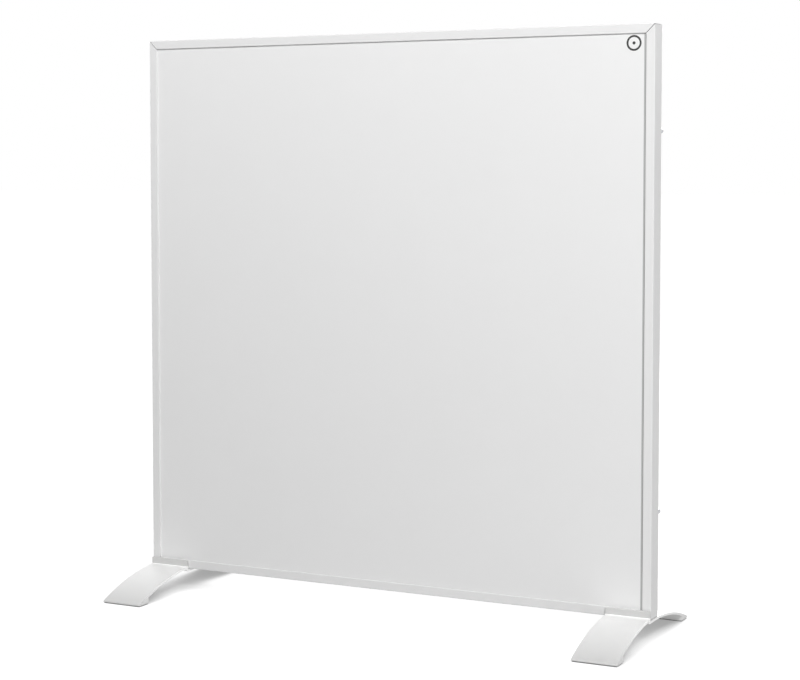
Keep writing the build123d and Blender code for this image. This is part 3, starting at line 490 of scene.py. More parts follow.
def make_rail(side, turn, length, reach):
    """One rail, made as the top one and then turned round the panel's middle."""
    middle = (panel_low + panel_high) / 2
    middle.y = 0
    about_middle = Matrix.Rotation(radians(turn), 3, "Y")
    start = -length / 2

    bm = bmesh.new()
    section = Outline(bm, (start, front_face, 0))
    section.to(
        (start, rear_face, 0),
        (start, rear_face, rear_bevel - rail_lip),
        (start, rear_face - rear_bevel, -rail_lip),
        (start, rear_face - rail_lip_thickness, -rail_lip),
        (start, rear_face - rail_lip_thickness, -rail_web),
        (start, front_face + rail_lip_thickness, -rail_web),
        (start, front_face + rail_lip_thickness, -rail_lip),
        (start, front_face, -rail_lip),
    )
    draw_out(bm, section.close(), (length, 0, 0))
    outer = [edge for edge in edges_along(bm, (1, 0, 0)) if edge.verts[0].co.z > -overlap]
    ease(bm, outer, rail_edge, segments=4)
    lengthwise = set(edges_along(bm, (1, 0, 0)))
    lips = [edge for edge in sharp_edges(bm, least=20)
            if edge in lengthwise and edge.verts[0].co.z < -rail_web - overlap]
    ease(bm, lips, rail_lip_edge, segments=3)
    for end in (-1, 1):
        cut = bmesh.ops.bisect_plane(
            bm, geom=bm.verts[:] + bm.edges[:] + bm.faces[:],
            plane_co=(end * (length / 2 - mitre_gap / sqrt(2)), 0, 0),
            plane_no=(end, 0, -1), clear_outer=True,
        )
        cut_edges = [item for item in cut["geom_cut"] if isinstance(item, bmesh.types.BMEdge)]
        bmesh.ops.contextual_create(bm, geom=cut_edges, mat_nr=1)
    bmesh.ops.recalc_face_normals(bm, faces=bm.faces)
    sawn = [edge for edge in bm.edges
            if sum(face.material_index for face in edge.link_faces) == 1]
    ease(bm, sawn, mitre_edge, segments=1, material=1)
    bmesh.ops.rotate(bm, verts=bm.verts, cent=(0, 0, 0), matrix=about_middle)
    outward = about_middle @ Vector((0, 0, reach))
    bmesh.ops.translate(bm, verts=bm.verts, vec=middle + outward)
    rail = settle(bm, side + "_rail", "panel", [white_frame, shaded_mitre_cut],
                  "frame_" + side + "_rail")

    sinks = bmesh.new()
    for end in (-1, 1):
        from_middle = end * (length / 2 - key_screw_from_corner)
        place = middle + about_middle @ Vector((from_middle, 0, reach - chamber_middle))
        place.y = rear_face
        turned(sinks, place, (0, -1, 0), [
            (-overlap, 0), (-overlap, countersink_radius + overlap),
            (countersink_depth, countersink_radius - countersink_depth), (countersink_depth, 0),
        ])
    carve(rail, sinks)


make_rail("top", turn=0, length=panel_width, reach=panel_height / 2)
make_rail("right", turn=90, length=panel_height, reach=panel_width / 2)
make_rail("bottom", turn=180, length=panel_width, reach=panel_height / 2)
make_rail("left", turn=270, length=panel_height, reach=panel_width / 2)


# ---------------- corner keys
# Cast zinc angles slide into the rails' chambers, and a sunk socket screw through the rear lip
# holds each arm.

zinc_grey = (0.52, 0.53, 0.55, 1.0)
zinc_plate = (0.46, 0.47, 0.49, 1.0)
casting_grain = 1.5 * mm
casting_cloud = 14 * mm

cast_zinc = Finish("cast_zinc", {"Metallic": 0.9})
casting = cast_zinc.noise(casting_grain, detail=4.0)
cast_zinc.set(
    base_color=cast_zinc.shade(zinc_grey, cast_zinc.noise(casting_cloud, detail=3.0), depth=0.25),
    roughness=0.5 + 0.2 * casting,
    normal=cast_zinc.bump(casting, distance=0.05 * mm),
)
dress(cast_zinc, "corner_keys")
zinc_steel = drawn("zinc_steel", zinc_plate, roughness=0.26, stretch=(1.0, 1.0, 1.0),
                   depth=0.002 * mm, patches=0.15)
dress(zinc_steel, "corner_key_screws")


# ---------------- back plate
# A thinner steel sheet with a white powder coat closes the back. Its grain is coarser than the
# enamel's in front.

powder_white = (0.76, 0.76, 0.755, 1.0)

dress(coated("white_back", powder_white, roughness=0.5, grain=1.6 * mm, depth=0.02 * mm),
      "back_plate")


# ---------------- wall pegs
# Four turned steel pegs screw through the side rails into tapped bars. The heater hangs on them
# when it is fixed to a wall without its feet. Each has a slot for a screwdriver in its end.

peg_radius = 3.0 * mm
peg_thread_radius = 2.0 * mm
peg_chamfer = 0.5 * mm
peg_slot_width = 1.0 * mm
peg_slot_depth = 1.2 * mm


def block(bm, low, high):
    """A box between two corners."""
    size = Vector(high) - Vector(low)
    place = Matrix.Translation((Vector(low) + Vector(high)) / 2) @ Matrix.Diagonal((*size, 1.0))
    bmesh.ops.create_cube(bm, size=1.0, matrix=place)


peg_low, peg_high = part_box("wall_pegs")
peg_shoulder = rear_face - peg_low.y
peg_end = peg_high.y - peg_low.y
peg_mesh, slots = bmesh.new(), bmesh.new()
for x in (peg_low.x + peg_radius, peg_high.x - peg_radius):
    for z in (peg_low.z + peg_radius, peg_high.z - peg_radius):
        turned(peg_mesh, (x, peg_low.y, z), (0, 1, 0), [
            (0, 0), (0, peg_thread_radius), (peg_shoulder, peg_thread_radius),
            (peg_shoulder, peg_radius), (peg_end - peg_chamfer, peg_radius),
            (peg_end, peg_radius - peg_chamfer), (peg_end, 0),
        ], steps=40)
        block(slots,
              (x - peg_slot_width / 2, peg_high.y - peg_slot_depth, z - 2 * peg_radius),
              (x + peg_slot_width / 2, peg_high.y + peg_slot_depth, z + 2 * peg_radius))
pegs = settle(peg_mesh, "pegs", "panel", [zinc_steel], "wall_pegs")
carve(pegs, slots)
dress(zinc_steel, "peg_nut_bars")


# ---------------- connection box
# A moulded white box is riveted to the back plate, low on the right. Its cover has a sunk field
# and is held by four pan head screws.

plastic_white = (0.74, 0.74, 0.73, 1.0)
rivet_silver = (0.80, 0.80, 0.81, 1.0)
mould_grain = 0.5 * mm
flow_mark = 16 * mm
box_corner = 5.0 * mm
cover_edge = 0.7 * mm
cover_thickness = 2.0 * mm
cover_field_inset = 10.5 * mm
cover_field_depth = 0.5 * mm
cover_field_edge = 0.45 * mm
cover_rib_width = 1.2 * mm
cover_rib_from_end = 11.8 * mm
cover_rib_from_side = 2.25 * mm
screw_radius = 1.5 * mm
screw_tip_radius = 1.0 * mm
screw_tip_length = 0.5 * mm
screw_head_radius = 2.7 * mm
screw_head_height = 1.6 * mm
screw_head_side = 0.9 * mm        # height of the straight side of the head
screw_crown_height = 1.3 * mm     # where the crown turns in
screw_crown_inset = 0.25 * mm
screw_face_inset = 0.9 * mm
socket_width = 2.0 * mm
socket_depth = 1.0 * mm


def moulded(name, colour, roughness, depth, printed=None):
    """Moulded plastic or rubber: the mould's eroded grain and faint flow marks."""
    finish = Finish(name, {"Metallic": 0.0, "Specular IOR Level": 0.45})
    grain = finish.noise(mould_grain, detail=4.0)
    flow = finish.noise(flow_mark, stretch=(1.0, 1.0, 2.5))
    body = finish.shade(colour, flow, depth=0.06)
    if printed:
        body = finish.mix(printed(finish), body, enamel_white)
    return finish.set(
        base_color=body,
        roughness=roughness + 0.08 * (flow - 0.5),
        normal=finish.bump(grain, depth),
    )


def end_edges(bm, direction):
    """The edges of the face that looks in a direction."""
    way = Vector(direction)
    return max(bm.faces, key=lambda face: face.normal.dot(way)).edges[:]


def hexagon(bm, start, along, across, length):
    """A hexagonal bar from a start, with two corners straight up and down."""
    axis = Vector(along)
    place = Matrix.Translation(Vector(start) + axis * length / 2)
    corner = across / 2 / cos(pi / 6)
    bmesh.ops.create_cone(
        bm, cap_ends=True, segments=6, radius1=corner, radius2=corner, depth=length,
        matrix=place @ axis.to_track_quat("Z", "Y").to_matrix().to_4x4(),
    )


white_plastic = moulded("white_plastic", plastic_white, roughness=0.45, depth=0.012 * mm)
dress(white_plastic, "box_base")
dress(drawn("aluminium_rivet", rivet_silver, roughness=0.35, stretch=(1.0, 1.0, 1.0)),
      "box_rivets", "cutout_rivets")

cover_low, cover_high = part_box("box_cover")
rim = cover_high.y - cover_thickness
cover = bmesh.new()
block(cover, (cover_low.x, rim, cover_low.z), cover_high)
ease(cover, edges_along(cover, (0, 1, 0)), box_corner, segments=8)
ease(cover, end_edges(cover, (0, 1, 0)), cover_edge, segments=3)
for rib_low in (cover_low.z + cover_rib_from_side,
                cover_high.z - cover_rib_from_side - cover_rib_width):
    block(cover,
          (cover_low.x + cover_rib_from_end, cover_low.y, rib_low),
          (cover_high.x - cover_rib_from_end, rim + overlap, rib_low + cover_rib_width))
lid = settle(cover, "box_lid", "panel", [white_plastic], "box_cover")
field = bmesh.new()
block(field,
      (cover_low.x + cover_field_inset, cover_high.y - cover_field_depth,
       cover_low.z + cover_field_inset),
      (cover_high.x - cover_field_inset, cover_high.y + cover_field_depth,
       cover_high.z - cover_field_inset))
ease(field, end_edges(field, (0, -1, 0)), cover_field_edge, segments=1)
carve(lid, field)

screws_low, screws_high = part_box("box_cover_screws")
shank = cover_high.y - screws_low.y
screws, sockets = bmesh.new(), bmesh.new()
for x in (screws_low.x + screw_head_radius, screws_high.x - screw_head_radius):
    for z in (screws_low.z + screw_head_radius, screws_high.z - screw_head_radius):
        turned(screws, (x, screws_low.y, z), (0, 1, 0), [
            (0, 0), (0, screw_tip_radius), (screw_tip_length, screw_radius),
            (shank, screw_radius), (shank, screw_head_radius),
            (shank + screw_head_side, screw_head_radius),
            (shank + screw_crown_height, screw_head_radius - screw_crown_inset),
            (shank + screw_head_height, screw_head_radius - screw_face_inset),
            (shank + screw_head_height, 0),
        ], steps=40)
        hexagon(sockets, (x, screws_high.y + overlap, z), (0, -1, 0), socket_width,
                socket_depth + overlap)
lid_screws = settle(screws, "lid_screws", "panel", [zinc_steel], "box_cover_screws")
carve(lid_screws, sockets)


# ---------------- terminal block
# Inside the box a three-pole block takes the cord's wires: a cream moulding with brass tubes and
# zinc screws, next to a rubber bush for each heater lead.

brass_yellow = (0.78, 0.62, 0.34, 1.0)
rubber_black = (0.03, 0.03, 0.03, 1.0)
cream = (0.68, 0.63, 0.50, 1.0)

brass = drawn("brass", brass_yellow, roughness=0.3, stretch=(60.0, 1.0, 1.0), patches=0.2)
black_rubber = moulded("black_rubber", rubber_black, roughness=0.65, depth=0.02 * mm)
dress(moulded("cream_plastic", cream, roughness=0.4, depth=0.01 * mm), "terminal_block")
dress(brass, "terminal_clamps", "switch_blades", "cutout_blades")
dress(zinc_steel, "terminal_screws")
dress(black_rubber, "lead_grommets")


# ---------------- switch
# A small rocker switch is clipped into the box's side wall. The rocker tips about its middle
# and carries a printed line and ring. At rest it is off, with the lower half pressed in.

plastic_black = (0.028, 0.028, 0.029, 1.0)
bezel_overhang = 1.2 * mm
bezel_thickness = 2.0 * mm
bezel_corner = 1.0 * mm
bezel_edge = 0.5 * mm
pocket_wall = 2.3 * mm            # from the bezel's edge
pocket_depth = 6.5 * mm
pocket_corner = 0.3 * mm
pivot_depth = 3.2 * mm
rocker_angle = radians(8)
rocker_half_length = 7.3 * mm
rocker_half_width = 4.8 * mm
rocker_centre_height = 3.0 * mm
rocker_end_foot = 0.6 * mm
rocker_keel = 1.5 * mm
rocker_edge = 0.45 * mm
sign_from_middle = 4.4 * mm
sign_reach = 1.5 * mm
sign_line = 0.6 * mm

black_plastic = moulded("black_plastic", plastic_black, roughness=0.38, depth=0.008 * mm)
dress(black_plastic, "thermal_cutout")

housing_low, housing_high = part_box("switch_housing")
box_side = housing_high.x - bezel_thickness
pivot = (housing_low + housing_high) / 2
pivot.x = housing_high.x - pivot_depth
housing, pocket = bmesh.new(), bmesh.new()
block(housing, (box_side, housing_low.y, housing_low.z), housing_high)
ease(housing, edges_along(housing, (1, 0, 0)), bezel_corner, segments=4)
ease(housing, end_edges(housing, (1, 0, 0)), bezel_edge, segments=3)
block(housing,
      (housing_low.x, housing_low.y + bezel_overhang, housing_low.z + bezel_overhang),
      (box_side + overlap, housing_high.y - bezel_overhang, housing_high.z - bezel_overhang))
block(pocket,
      (housing_high.x - pocket_depth, housing_low.y + pocket_wall, housing_low.z + pocket_wall),
      (housing_high.x + pocket_depth, housing_high.y - pocket_wall, housing_high.z - pocket_wall))
ease(pocket, edges_along(pocket, (1, 0, 0)), pocket_corner, segments=3)
case = settle(housing, "switch_case", "panel", [black_plastic], "switch_housing")
carve(case, pocket)


def line_and_ring(finish):
    """Where the rocker's two signs are, in the plane of the rocker."""
    beside = finish.along("Y") - pivot.y
    outward = finish.along("X") - pivot.x
    upward = finish.along("Z") - pivot.z
    up = cos(rocker_angle) * upward + sin(rocker_angle) * outward
    line = (abs(up - sign_from_middle) < sign_reach) * (abs(beside) < sign_line / 2)
    below = up + sign_from_middle
    from_ring = (beside * beside + below * below) ** 0.5
    return line + (abs(from_ring - (sign_reach - sign_line / 2)) < sign_line / 2)


rocker_black = moulded("rocker_black", plastic_black, roughness=0.3, depth=0.004 * mm,
                       printed=line_and_ring)
rocker_end_height = rocker_centre_height + rocker_half_length * tan(rocker_angle)
rocker = bmesh.new()
section = Outline(rocker, (rocker_end_height, -rocker_half_width, -rocker_half_length))
section.to(
    (rocker_centre_height, -rocker_half_width, 0),
    (rocker_end_height, -rocker_half_width, rocker_half_length),
    (rocker_end_foot, -rocker_half_width, rocker_half_length),
    (-rocker_keel, -rocker_half_width, 0),
    (rocker_end_foot, -rocker_half_width, -rocker_half_length),
)
draw_out(rocker, section.close(), (0, 2 * rocker_half_width, 0))
ease(rocker, sharp_edges(rocker, least=5), rocker_edge, segments=3)
bmesh.ops.rotate(rocker, verts=rocker.verts, cent=(0, 0, 0),
                 matrix=Matrix.Rotation(rocker_angle, 3, "Y"))
bmesh.ops.translate(rocker, verts=rocker.verts, vec=pivot)
settle(rocker, "rocker", "switch_rocker", [rocker_black], "switch_rocker")


# ---------------- leads and earth
# Insulated leads join the block, the cut-out, the switch and the board, each pushed on with a
# brass connector. The earth lead ends in a ring under the nut of a stud through the back plate.

lead_brown = (0.16, 0.065, 0.03, 1.0)
lead_blue = (0.04, 0.16, 0.48, 1.0)
earth_green = (0.10, 0.34, 0.06, 1.0)
earth_yellow = (0.75, 0.62, 0.05, 1.0)
lead_radius = 1.2 * mm

dress(brass, "spade_connectors", "earth_ring")
dress(zinc_steel, "earth_stud", "earth_nut")
dress(moulded("brown_lead", lead_brown, roughness=0.35, depth=0.004 * mm),
      "live_lead", "switch_lead", "heater_live_lead")
dress(moulded("blue_lead", lead_blue, roughness=0.35, depth=0.004 * mm), "heater_neutral_lead")

earth_lead = Finish("earth_lead", {"Specular IOR Level": 0.45})
stripe = (earth_lead.along("Z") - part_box("earth_lead")[0].z) > lead_radius
earth_lead.set(
    base_color=earth_lead.mix(stripe, earth_green, earth_yellow),
    roughness=0.35 + 0.1 * earth_lead.noise(size=8 * mm),
)
dress(earth_lead, "earth_lead")


# ---------------- cable gland
# A grey nylon gland is screwed through the box's left wall. Its domed nut squeezes a rubber
# seal round the cord.

nylon_grey = (0.30, 0.31, 0.32, 1.0)
gland_hex_width = 15.0 * mm
gland_hex_length = 4.5 * mm
gland_hex_corner = 0.5 * mm
gland_hex_edge = 0.25 * mm
gland_hex_bore = 5.9 * mm
gland_body_dome = 0.4 * mm
gland_nut_dome = 1.1 * mm
gland_nut_end = 2.4 * mm          # thickness of the nut's closed end
gland_mouth = 4.2 * mm
gland_flare = 0.3 * mm            # how much wider the mouth is at the nut's face
gland_flare_depth = 0.5 * mm
gland_bore = 3.7 * mm
gland_thread_radius = 6.0 * mm
gland_thread_pitch = 1.5 * mm
gland_crest = (1.125 * mm, 5.98 * mm)   # distance along a turn of the thread, and radius
gland_root = (0.4 * mm, 5.5 * mm)
gland_thread_end = 5.4 * mm
seal_radius = 4.8 * mm
seal_bore = 3.5 * mm
seal_edge = 0.2 * mm
seal_chamfer = 0.4 * mm
seal_seat = 4.85 * mm
cut_margin = 0.5 * mm             # of a bore's cutter past both faces

grey_plastic = moulded("grey_plastic", nylon_grey, roughness=0.42, depth=0.008 * mm)
dress(grey_plastic, "gland_locknut")

nut_low, nut_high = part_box("gland_nut")
body_low, body_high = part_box("gland_body")
seal_low, seal_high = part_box("gland_seal")
gland_y = (body_low.y + body_high.y) / 2
gland_z = (body_low.z + body_high.z) / 2
box_wall_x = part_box("box_base")[0].x


def make_hexed(name, node, start_x, end_x, dome, bore):
    """A hexagonal gland piece along X with rounded corners, a dome on its end and a bore."""
    bm = bmesh.new()
    hexagon(bm, (start_x, gland_y, gland_z), (1, 0, 0), gland_hex_width, end_x - start_x)
    ease(bm, edges_along(bm, (1, 0, 0)), gland_hex_corner, segments=3)
    ease(bm, end_edges(bm, (-1, 0, 0)), dome, segments=4)
    ease(bm, end_edges(bm, (1, 0, 0)), gland_hex_edge, segments=2)
    piece = settle(bm, name, "panel", [grey_plastic], node)
    cutter = bmesh.new()
    turned(cutter, (start_x, gland_y, gland_z), (1, 0, 0), bore)
    carve(piece, cutter)


nut_length = nut_high.x - nut_low.x
make_hexed("gland_cap", "gland_nut", nut_low.x, nut_high.x, gland_nut_dome, [
    (-cut_margin, 0), (-cut_margin, gland_mouth + 2 * gland_flare),
    (0, gland_mouth + gland_flare), (gland_flare_depth, gland_mouth),
    (gland_nut_end, gland_mouth), (gland_nut_end, gland_thread_radius),
    (nut_length + cut_margin, gland_thread_radius), (nut_length + cut_margin, 0),
])
make_hexed("gland_hex", "gland_body", box_wall_x - gland_hex_length, box_wall_x, gland_body_dome, [
    (-cut_margin, 0), (-cut_margin, gland_hex_bore),
    (gland_hex_length + cut_margin, gland_hex_bore), (gland_hex_length + cut_margin, 0),
])

gland_thread = bmesh.new()
thread_end = body_high.x - body_low.x
seal_end = seal_high.x - body_low.x
ridges = []
for count in range(int(thread_end / gland_thread_pitch)):
    turn_start = count * gland_thread_pitch
    ridges += [(turn_start + far, radius) for far, radius in (gland_root, gland_crest)]
turned(gland_thread, (body_low.x, gland_y, gland_z), (1, 0, 0), [
    (0, seal_seat), (0, gland_thread_end), *ridges,
    (thread_end, gland_thread_end), (thread_end, gland_bore),
    (seal_end, gland_bore), (seal_end, seal_seat),
], bored=True)
settle(gland_thread, "gland_thread", "panel", [grey_plastic], "gland_body")

seal = bmesh.new()
seal_length = seal_high.x - seal_low.x
turned(seal, (seal_low.x, gland_y, gland_z), (1, 0, 0), [
    (0, seal_bore + seal_chamfer), (0, seal_radius - seal_edge), (seal_edge, seal_radius),
    (seal_length, seal_radius), (seal_length, seal_bore), (seal_chamfer, seal_bore),
], bored=True)
settle(seal, "gland_bush", "panel", [black_rubber], "gland_seal")


# ---------------- feet
# Each foot is a length of extruded aluminium, sawn to width and satin anodised: a flat arch
# with a toe at each end, and on its crown two lips that make the channel for the panel. A thin
# plastic strip lines the channel, and rubber strips lie under the toes.

foot_silver = (0.94, 0.94, 0.935, 1.0)
# the lips' darker silver is a painted shade on the same anodised aluminium
shaded_lip_silver = (0.57, 0.57, 0.565, 1.0)
rubber_grey = (0.26, 0.26, 0.26, 1.0)
liner_white = (0.70, 0.70, 0.69, 1.0)
# the arch gets a painted shade that deepens from its crown down to its toes, and above lips_above
# the lips take the darker painted shade
crown_height = 26 * mm            # where the arch is lightest
lips_above = 26.52 * mm           # the lips have their own colour from this height up
painted_toe_shade = 0.36                  # how much darker the arch would be on the floor
arch_thickness = 2.5 * mm
toe_length = 18.0 * mm
tip_height = 1.6 * mm
foot_pad_thickness = 1.0 * mm
liner_thickness = 0.8 * mm
liner_edge = 0.15 * mm
slide_clearance = 0.1 * mm
front_lip_thickness = 1.8 * mm
front_lip_height = 9.4 * mm
front_crown_height = 2.3 * mm
rear_lip_gap = 4.0 * mm
rear_lip_thickness = 2.5 * mm
rear_lip_height = 16.0 * mm
rear_lip_inset = 3.0 * mm
bush_radius = 4.0 * mm
foot_edge = 0.3 * mm
lip_top_edge = 0.7 * mm
arch_steps = 40


def foot_painted_shade(finish, colour):
    """Painted shade: the arch darkens from its crown towards the toes, and the lips are darker
    still.
    """
    height = finish.along("Z")
    arch = finish.shade(colour, 1.0 - height * (1.0 / crown_height), painted_toe_shade)
    return finish.mix(height > lips_above, arch, shaded_lip_silver)


satin_aluminium = drawn("satin_aluminium", foot_silver, roughness=0.40, stretch=(160.0, 1.0, 1.0),
                        depth=0.002 * mm, metallic=0.4, painted_shade=foot_painted_shade)
grey_rubber = moulded("grey_rubber", rubber_grey, roughness=0.7, depth=0.03 * mm)
white_liner = moulded("white_liner", liner_white, roughness=0.5, depth=0.006 * mm)

clamp_z = sum(corner.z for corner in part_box("left_clamp_bush")) / 2
seat = panel_low.z - liner_thickness
front_inner = front_face - slide_clearance - liner_thickness
front_outer = front_inner - front_lip_thickness
rear_inner = rear_face + rear_lip_gap
rear_outer = rear_inner + rear_lip_thickness


def arch_circle(half, low, peak):
    """The radius and the centre's height of an arch that rises from its tips to a peak."""
    rise = peak - low
    radius = (half ** 2 + rise ** 2) / (2 * rise)
    return radius, peak - radius


def make_foot(side):
    """The extrusion's section, drawn from the front tip over the arch and back under it."""
    low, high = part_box(side + "_foot")
    half = high.y
    toe = half - toe_length
    tip_top = foot_pad_thickness + tip_height
    front_lip_top = panel_low.z + front_lip_height
    rear_lip_top = panel_low.z + rear_lip_height
    front_radius, front_z = arch_circle(half, tip_top, panel_low.z + front_crown_height)
    rear_radius, rear_z = arch_circle(half, tip_top, seat)
    front_under = front_radius - arch_thickness
    rear_under = rear_radius - arch_thickness
    front_centre, rear_centre = (low.x, 0, front_z), (low.x, 0, rear_z)

    bm = bmesh.new()
    section = Outline(bm, (low.x, -half, tip_top))
    section.arc(front_centre, (1, 0, 0),
                asin(-half / front_radius) - asin(front_outer / front_radius), arch_steps)
    section.to(
        (low.x, front_outer, front_lip_top),
        (low.x, front_inner, front_lip_top),
        (low.x, front_inner, seat),
        (low.x, rear_inner, seat),
        (low.x, rear_inner, rear_lip_top),
        (low.x, rear_outer, rear_lip_top),
        (low.x, rear_outer, rear_z + sqrt(rear_radius ** 2 - rear_outer ** 2)),
    )
    section.arc(rear_centre, (1, 0, 0),
                asin(rear_outer / rear_radius) - asin(half / rear_radius), arch_steps)
    section.to(
        (low.x, half, foot_pad_thickness),
        (low.x, toe, foot_pad_thickness),
        (low.x, toe, rear_z + sqrt(rear_under ** 2 - toe ** 2)),
    )
    section.arc(rear_centre, (1, 0, 0), asin(toe / rear_under), arch_steps)
    section.to(
        (low.x, front_outer, seat - arch_thickness),
        (low.x, front_outer, front_z + sqrt(front_under ** 2 - front_outer ** 2)),
    )
    section.arc(front_centre, (1, 0, 0),
                asin(front_outer / front_under) - asin(-toe / front_under), arch_steps)
    section.to(
        (low.x, -toe, foot_pad_thickness),
        (low.x, -half, foot_pad_thickness),
    )
    draw_out(bm, section.close(), (high.x - low.x, 0, 0))
    lip_corner = Vector((front_outer, front_lip_top))
    lip_edges = [edge for edge in sharp_edges(bm, least=25)
                 if all((end.co.yz - lip_corner).length < overlap for end in edge.verts)]
    ease(bm, lip_edges, lip_top_edge, segments=4)
    ease(bm, sharp_edges(bm, least=25), foot_edge, segments=3)
    foot = settle(bm, side + "_arch", side + "_foot", [satin_aluminium],
                  side + "_foot")

    cuts = bmesh.new()
    bush_hole = rear_lip_thickness + 2 * cut_margin
    turned(cuts, ((low.x + high.x) / 2, rear_inner - cut_margin, clamp_z), (0, 1, 0),
           [(0, 0), (0, bush_radius), (bush_hole, bush_radius), (bush_hole, 0)])
    for x in (low.x - cut_margin, high.x - rear_lip_inset):
        block(cuts,
              (x, rear_inner - cut_margin, seat),
              (x + rear_lip_inset + cut_margin, rear_outer + cut_margin, high.z + cut_margin))
    carve(foot, cuts)


def make_liner(side):
    """The L-shaped strip between the panel and the channel."""
    low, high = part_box(side + "_foot_liner")
    bm = bmesh.new()
    section = Outline(bm, (low.x, low.y, low.z))
    section.to(
        (low.x, high.y, low.z),
        (low.x, high.y, panel_low.z),
        (low.x, low.y + liner_thickness, panel_low.z),
        (low.x, low.y + liner_thickness, high.z),
        (low.x, low.y, high.z),
    )
    draw_out(bm, section.close(), (high.x - low.x, 0, 0))
    ease(bm, sharp_edges(bm, least=25), liner_edge, segments=2)
    settle(bm, side + "_liner", side + "_foot", [white_liner],
           side + "_foot_liner")


for side in ("left", "right"):
    make_foot(side)
    make_liner(side)
    dress(grey_rubber, side + "_foot_pads")


# ---------------- foot clamps
# A nickel-plated thumb screw with a fluted head runs through a brass bush in the rear lip. Its
# tip turns in a white plastic pad that presses on the back of the frame.

nickel = (0.74, 0.72, 0.69, 1.0)
bush_flange_radius = 5.5 * mm
bush_flange_edge = 0.4 * mm
bush_edge = 0.2 * mm
bush_bore_edge = 0.3 * mm
clamp_clearance = 0.05 * mm       # round the screw's thread and its tip
clamp_thread_radius = 2.5 * mm
clamp_thread_root = 2.1 * mm
clamp_thread_pitch = 0.8 * mm
clamp_tip_radius = 1.5 * mm
clamp_tip_length = 1.0 * mm
clamp_pad_radius = 3.7 * mm
clamp_pad_edge = 0.3 * mm
knob_radius = 7.0 * mm
knob_length = 9.0 * mm
knob_grooves = 12
knob_groove_radius = 1.0 * mm
knob_edge = 0.35 * mm
knob_dish_radius = 3.6 * mm
knob_dish_depth = 0.4 * mm
shank_in_knob = 0.5 * mm

knurled_steel = drawn("knurled_steel", nickel, roughness=0.24, stretch=(1.0, 40.0, 1.0),
                      patches=0.12)


def make_bush(side, x):
    """The threaded bush in the rear lip, with its flange behind."""
    low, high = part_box(side + "_clamp_bush")
    length = high.y - low.y
    bore = clamp_thread_radius + clamp_clearance
    bm = bmesh.new()
    turned(bm, (x, low.y, clamp_z), (0, 1, 0), [
        (0, bore + bush_bore_edge), (0, bush_radius - bush_edge), (bush_edge, bush_radius),
        (rear_lip_thickness, bush_radius), (rear_lip_thickness, bush_flange_radius),
        (length - bush_flange_edge, bush_flange_radius),
        (length, bush_flange_radius - bush_flange_edge),
        (length, bore + bush_bore_edge), (length - bush_bore_edge, bore), (bush_bore_edge, bore),
    ], bored=True)
    settle(bm, side + "_bush", side + "_foot", [brass], side + "_clamp_bush")


def make_pad(side, x):
    """The round pad, with a blind hole for the screw's tip."""
    low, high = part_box(side + "_clamp_pad")
    length = high.y - low.y
    hole = clamp_tip_radius + clamp_clearance
    bm = bmesh.new()
    turned(bm, (x, low.y, clamp_z), (0, 1, 0), [
        (0, 0), (0, clamp_pad_radius - clamp_pad_edge), (clamp_pad_edge, clamp_pad_radius),
        (length - clamp_pad_edge, clamp_pad_radius), (length, clamp_pad_radius - clamp_pad_edge),
        (length, hole), (length - clamp_tip_length, hole), (length - clamp_tip_length, 0),
    ])
    settle(bm, side + "_pad", side + "_clamp_pad", [white_liner],
           side + "_clamp_pad")


def make_thumb_screw(side, x):
    """The fluted head, the thread with its ridges, and the tip."""
    low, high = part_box(side + "_clamp_screw")
    knob_front = high.y - knob_length
    half_groove = acos(1 - knob_groove_radius ** 2 / (2 * knob_radius ** 2))
    step = 2 * pi / knob_grooves

    def on_rim(angle):
        return x + knob_radius * cos(angle), knob_front, clamp_z - knob_radius * sin(angle)

    bm = bmesh.new()
    section = Outline(bm, on_rim(half_groove))
    for count in range(1, knob_grooves + 1):
        section.arc((x, knob_front, clamp_z), (0, 1, 0), step - 2 * half_groove, 3)
        section.arc(on_rim(count * step), (0, 1, 0), half_groove - pi, 8)
    draw_out(bm, section.close(), (0, knob_length, 0))
    ease(bm, sharp_edges(bm, least=35), knob_edge, segments=3)

    shank = knob_front - low.y
    ridges = []
    for count in range(int((shank - clamp_tip_length) / clamp_thread_pitch)):
        crest = clamp_tip_length + (count + 0.5) * clamp_thread_pitch
        ridges += [(crest, clamp_thread_radius),
                   (crest + clamp_thread_pitch / 2, clamp_thread_root)]
    turned(bm, (x, low.y, clamp_z), (0, 1, 0), [
        (0, 0), (0, clamp_tip_radius), (clamp_tip_length, clamp_tip_radius),
        (clamp_tip_length, clamp_thread_root), *ridges,
        (shank + shank_in_knob, clamp_thread_root), (shank + shank_in_knob, 0),
    ], steps=36)
    screw = settle(bm, side + "_thumb_screw", side + "_clamp_screw",
                   [knurled_steel], side + "_clamp_screw")

    dish = bmesh.new()
    turned(dish, (x, high.y - knob_dish_depth, clamp_z), (0, 1, 0), [
        (0, 0), (0, knob_dish_radius),
        (2 * knob_dish_depth, knob_dish_radius + 2 * knob_dish_depth), (2 * knob_dish_depth, 0),
    ])
    carve(screw, dish)


for side in ("left", "right"):
    clamp_x = sum(corner.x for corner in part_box(side + "_clamp_bush")) / 2
    make_bush(side, clamp_x)
    make_pad(side, clamp_x)
    make_thumb_screw(side, clamp_x)


# ---------------- floor, light and camera
# The floor and the studio look white but throw little light on the heater, and the floor darkens
# softly under a foot. The key lamp stands high on the right, a weaker one on the left and a broad
# one behind. The camera stands low in front, to the right of the heater.

white = (1.0, 1.0, 1.0, 1.0)
black = (0.0, 0.0, 0.0, 1.0)
studio_grey = (0.06, 0.06, 0.06, 1.0)   # how brightly the studio lights the heater
floor_grey = (0.6, 0.6, 0.6, 1.0)       # the floor that the lamps light for the heater
floor_seen = (0.2, 0.2, 0.2, 1.0)       # the same, where it is looked at and glows as well
floor_glow = 0.95
floor_half = 30.0
far_glow = 0.05                   # more glow far off, where the lamps' light fades
far_from, far_to = 1.2, 2.6
shade_reach = 35 * mm             # how far the shade under a foot reaches
shade_depth = 0.62
shade_full, shade_none = 0.2, 0.82      # the open share of the sky over the floor

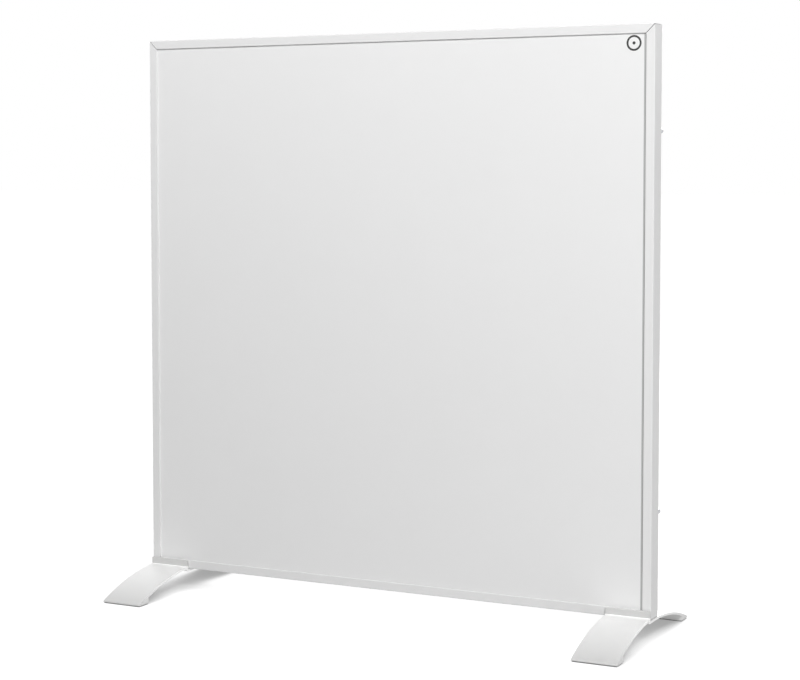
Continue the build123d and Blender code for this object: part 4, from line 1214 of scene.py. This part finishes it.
camera_place = (0.8971, -1.7845, 0.4807)
camera_pan = 26.386
camera_tilt = 3.213
camera_lens = 83.624
camera_shift = -0.085

bm = bmesh.new()
bmesh.ops.create_grid(bm, x_segments=1, y_segments=1, size=floor_half)
floor = new_object(bm, "floor")

floor_white = Finish("floor_white", {"Roughness": 0.9, "Specular IOR Level": 0.0,
                                     "Emission Strength": 1.0})
floor.data.materials.append(floor_white.material)
seen = floor_white.seen()
looked_at = floor_white.node("ShaderNodeLightPath", output="Is Camera Ray")
openness = floor_white.node("ShaderNodeAmbientOcclusion", {"samples": 16},
                            {"Distance": shade_reach}, output="AO")
shade = 1.0 - floor_white.node(
    "ShaderNodeMapRange", {"interpolation_type": "SMOOTHSTEP"},
    {"Value": openness, "From Min": shade_full, "From Max": shade_none},
)
from_middle = (floor_white.along("X") ** 2.0 + floor_white.along("Y") ** 2.0) ** 0.5
far_off = floor_white.node("ShaderNodeMapRange", {},
                           {"Value": from_middle, "From Min": far_from, "From Max": far_to})
glow = seen * (floor_glow + far_glow * far_off - shade_depth * looked_at * shade)
floor_white.set(
    base_color=floor_white.mix(seen, floor_grey, floor_seen),
    emission_color=floor_white.mix(glow, black, white),
)

world = bpy.data.worlds.new("studio")
bpy.context.scene.world = world
world.use_nodes = True
studio = Shading(world.node_tree)
studio.feed(world.node_tree.nodes["Background"],
            {"Color": studio.mix(studio.seen(), studio_grey, white)})


def lamp(name, place, target, size, power):
    """A square soft box aimed at a point."""
    data = bpy.data.lights.new(name, "AREA")
    data.shape, data.size, data.energy = "SQUARE", size, power
    made = bpy.data.objects.new(name, data)
    made.location = place
    made.rotation_euler = (Vector(target) - Vector(place)).to_track_quat("-Z", "Y").to_euler()
    bpy.context.scene.collection.objects.link(made)


lamp("key_lamp", place=(1.5, -1.7, 1.9), target=(0, 0, 0.35), size=0.4, power=64.0)
lamp("left_lamp", place=(-0.6, -0.8, 1.5), target=(-0.1, 0, 0.4), size=0.5, power=6.2)
lamp("back_lamp", place=(0.0, 2.4, 1.3), target=(0, 0, 0.3), size=1.2, power=34.0)

lens = bpy.data.cameras.new("camera")
lens.sensor_width = 36.0
lens.lens = camera_lens
lens.shift_y = camera_shift
lens.clip_start, lens.clip_end = 0.05, 100
camera = bpy.data.objects.new("camera", lens)
camera.location = camera_place
camera.rotation_euler = (radians(90 - camera_tilt), 0, radians(camera_pan))
bpy.context.scene.collection.objects.link(camera)
bpy.context.scene.camera = camera
bpy.context.scene.view_settings.view_transform = "Standard"
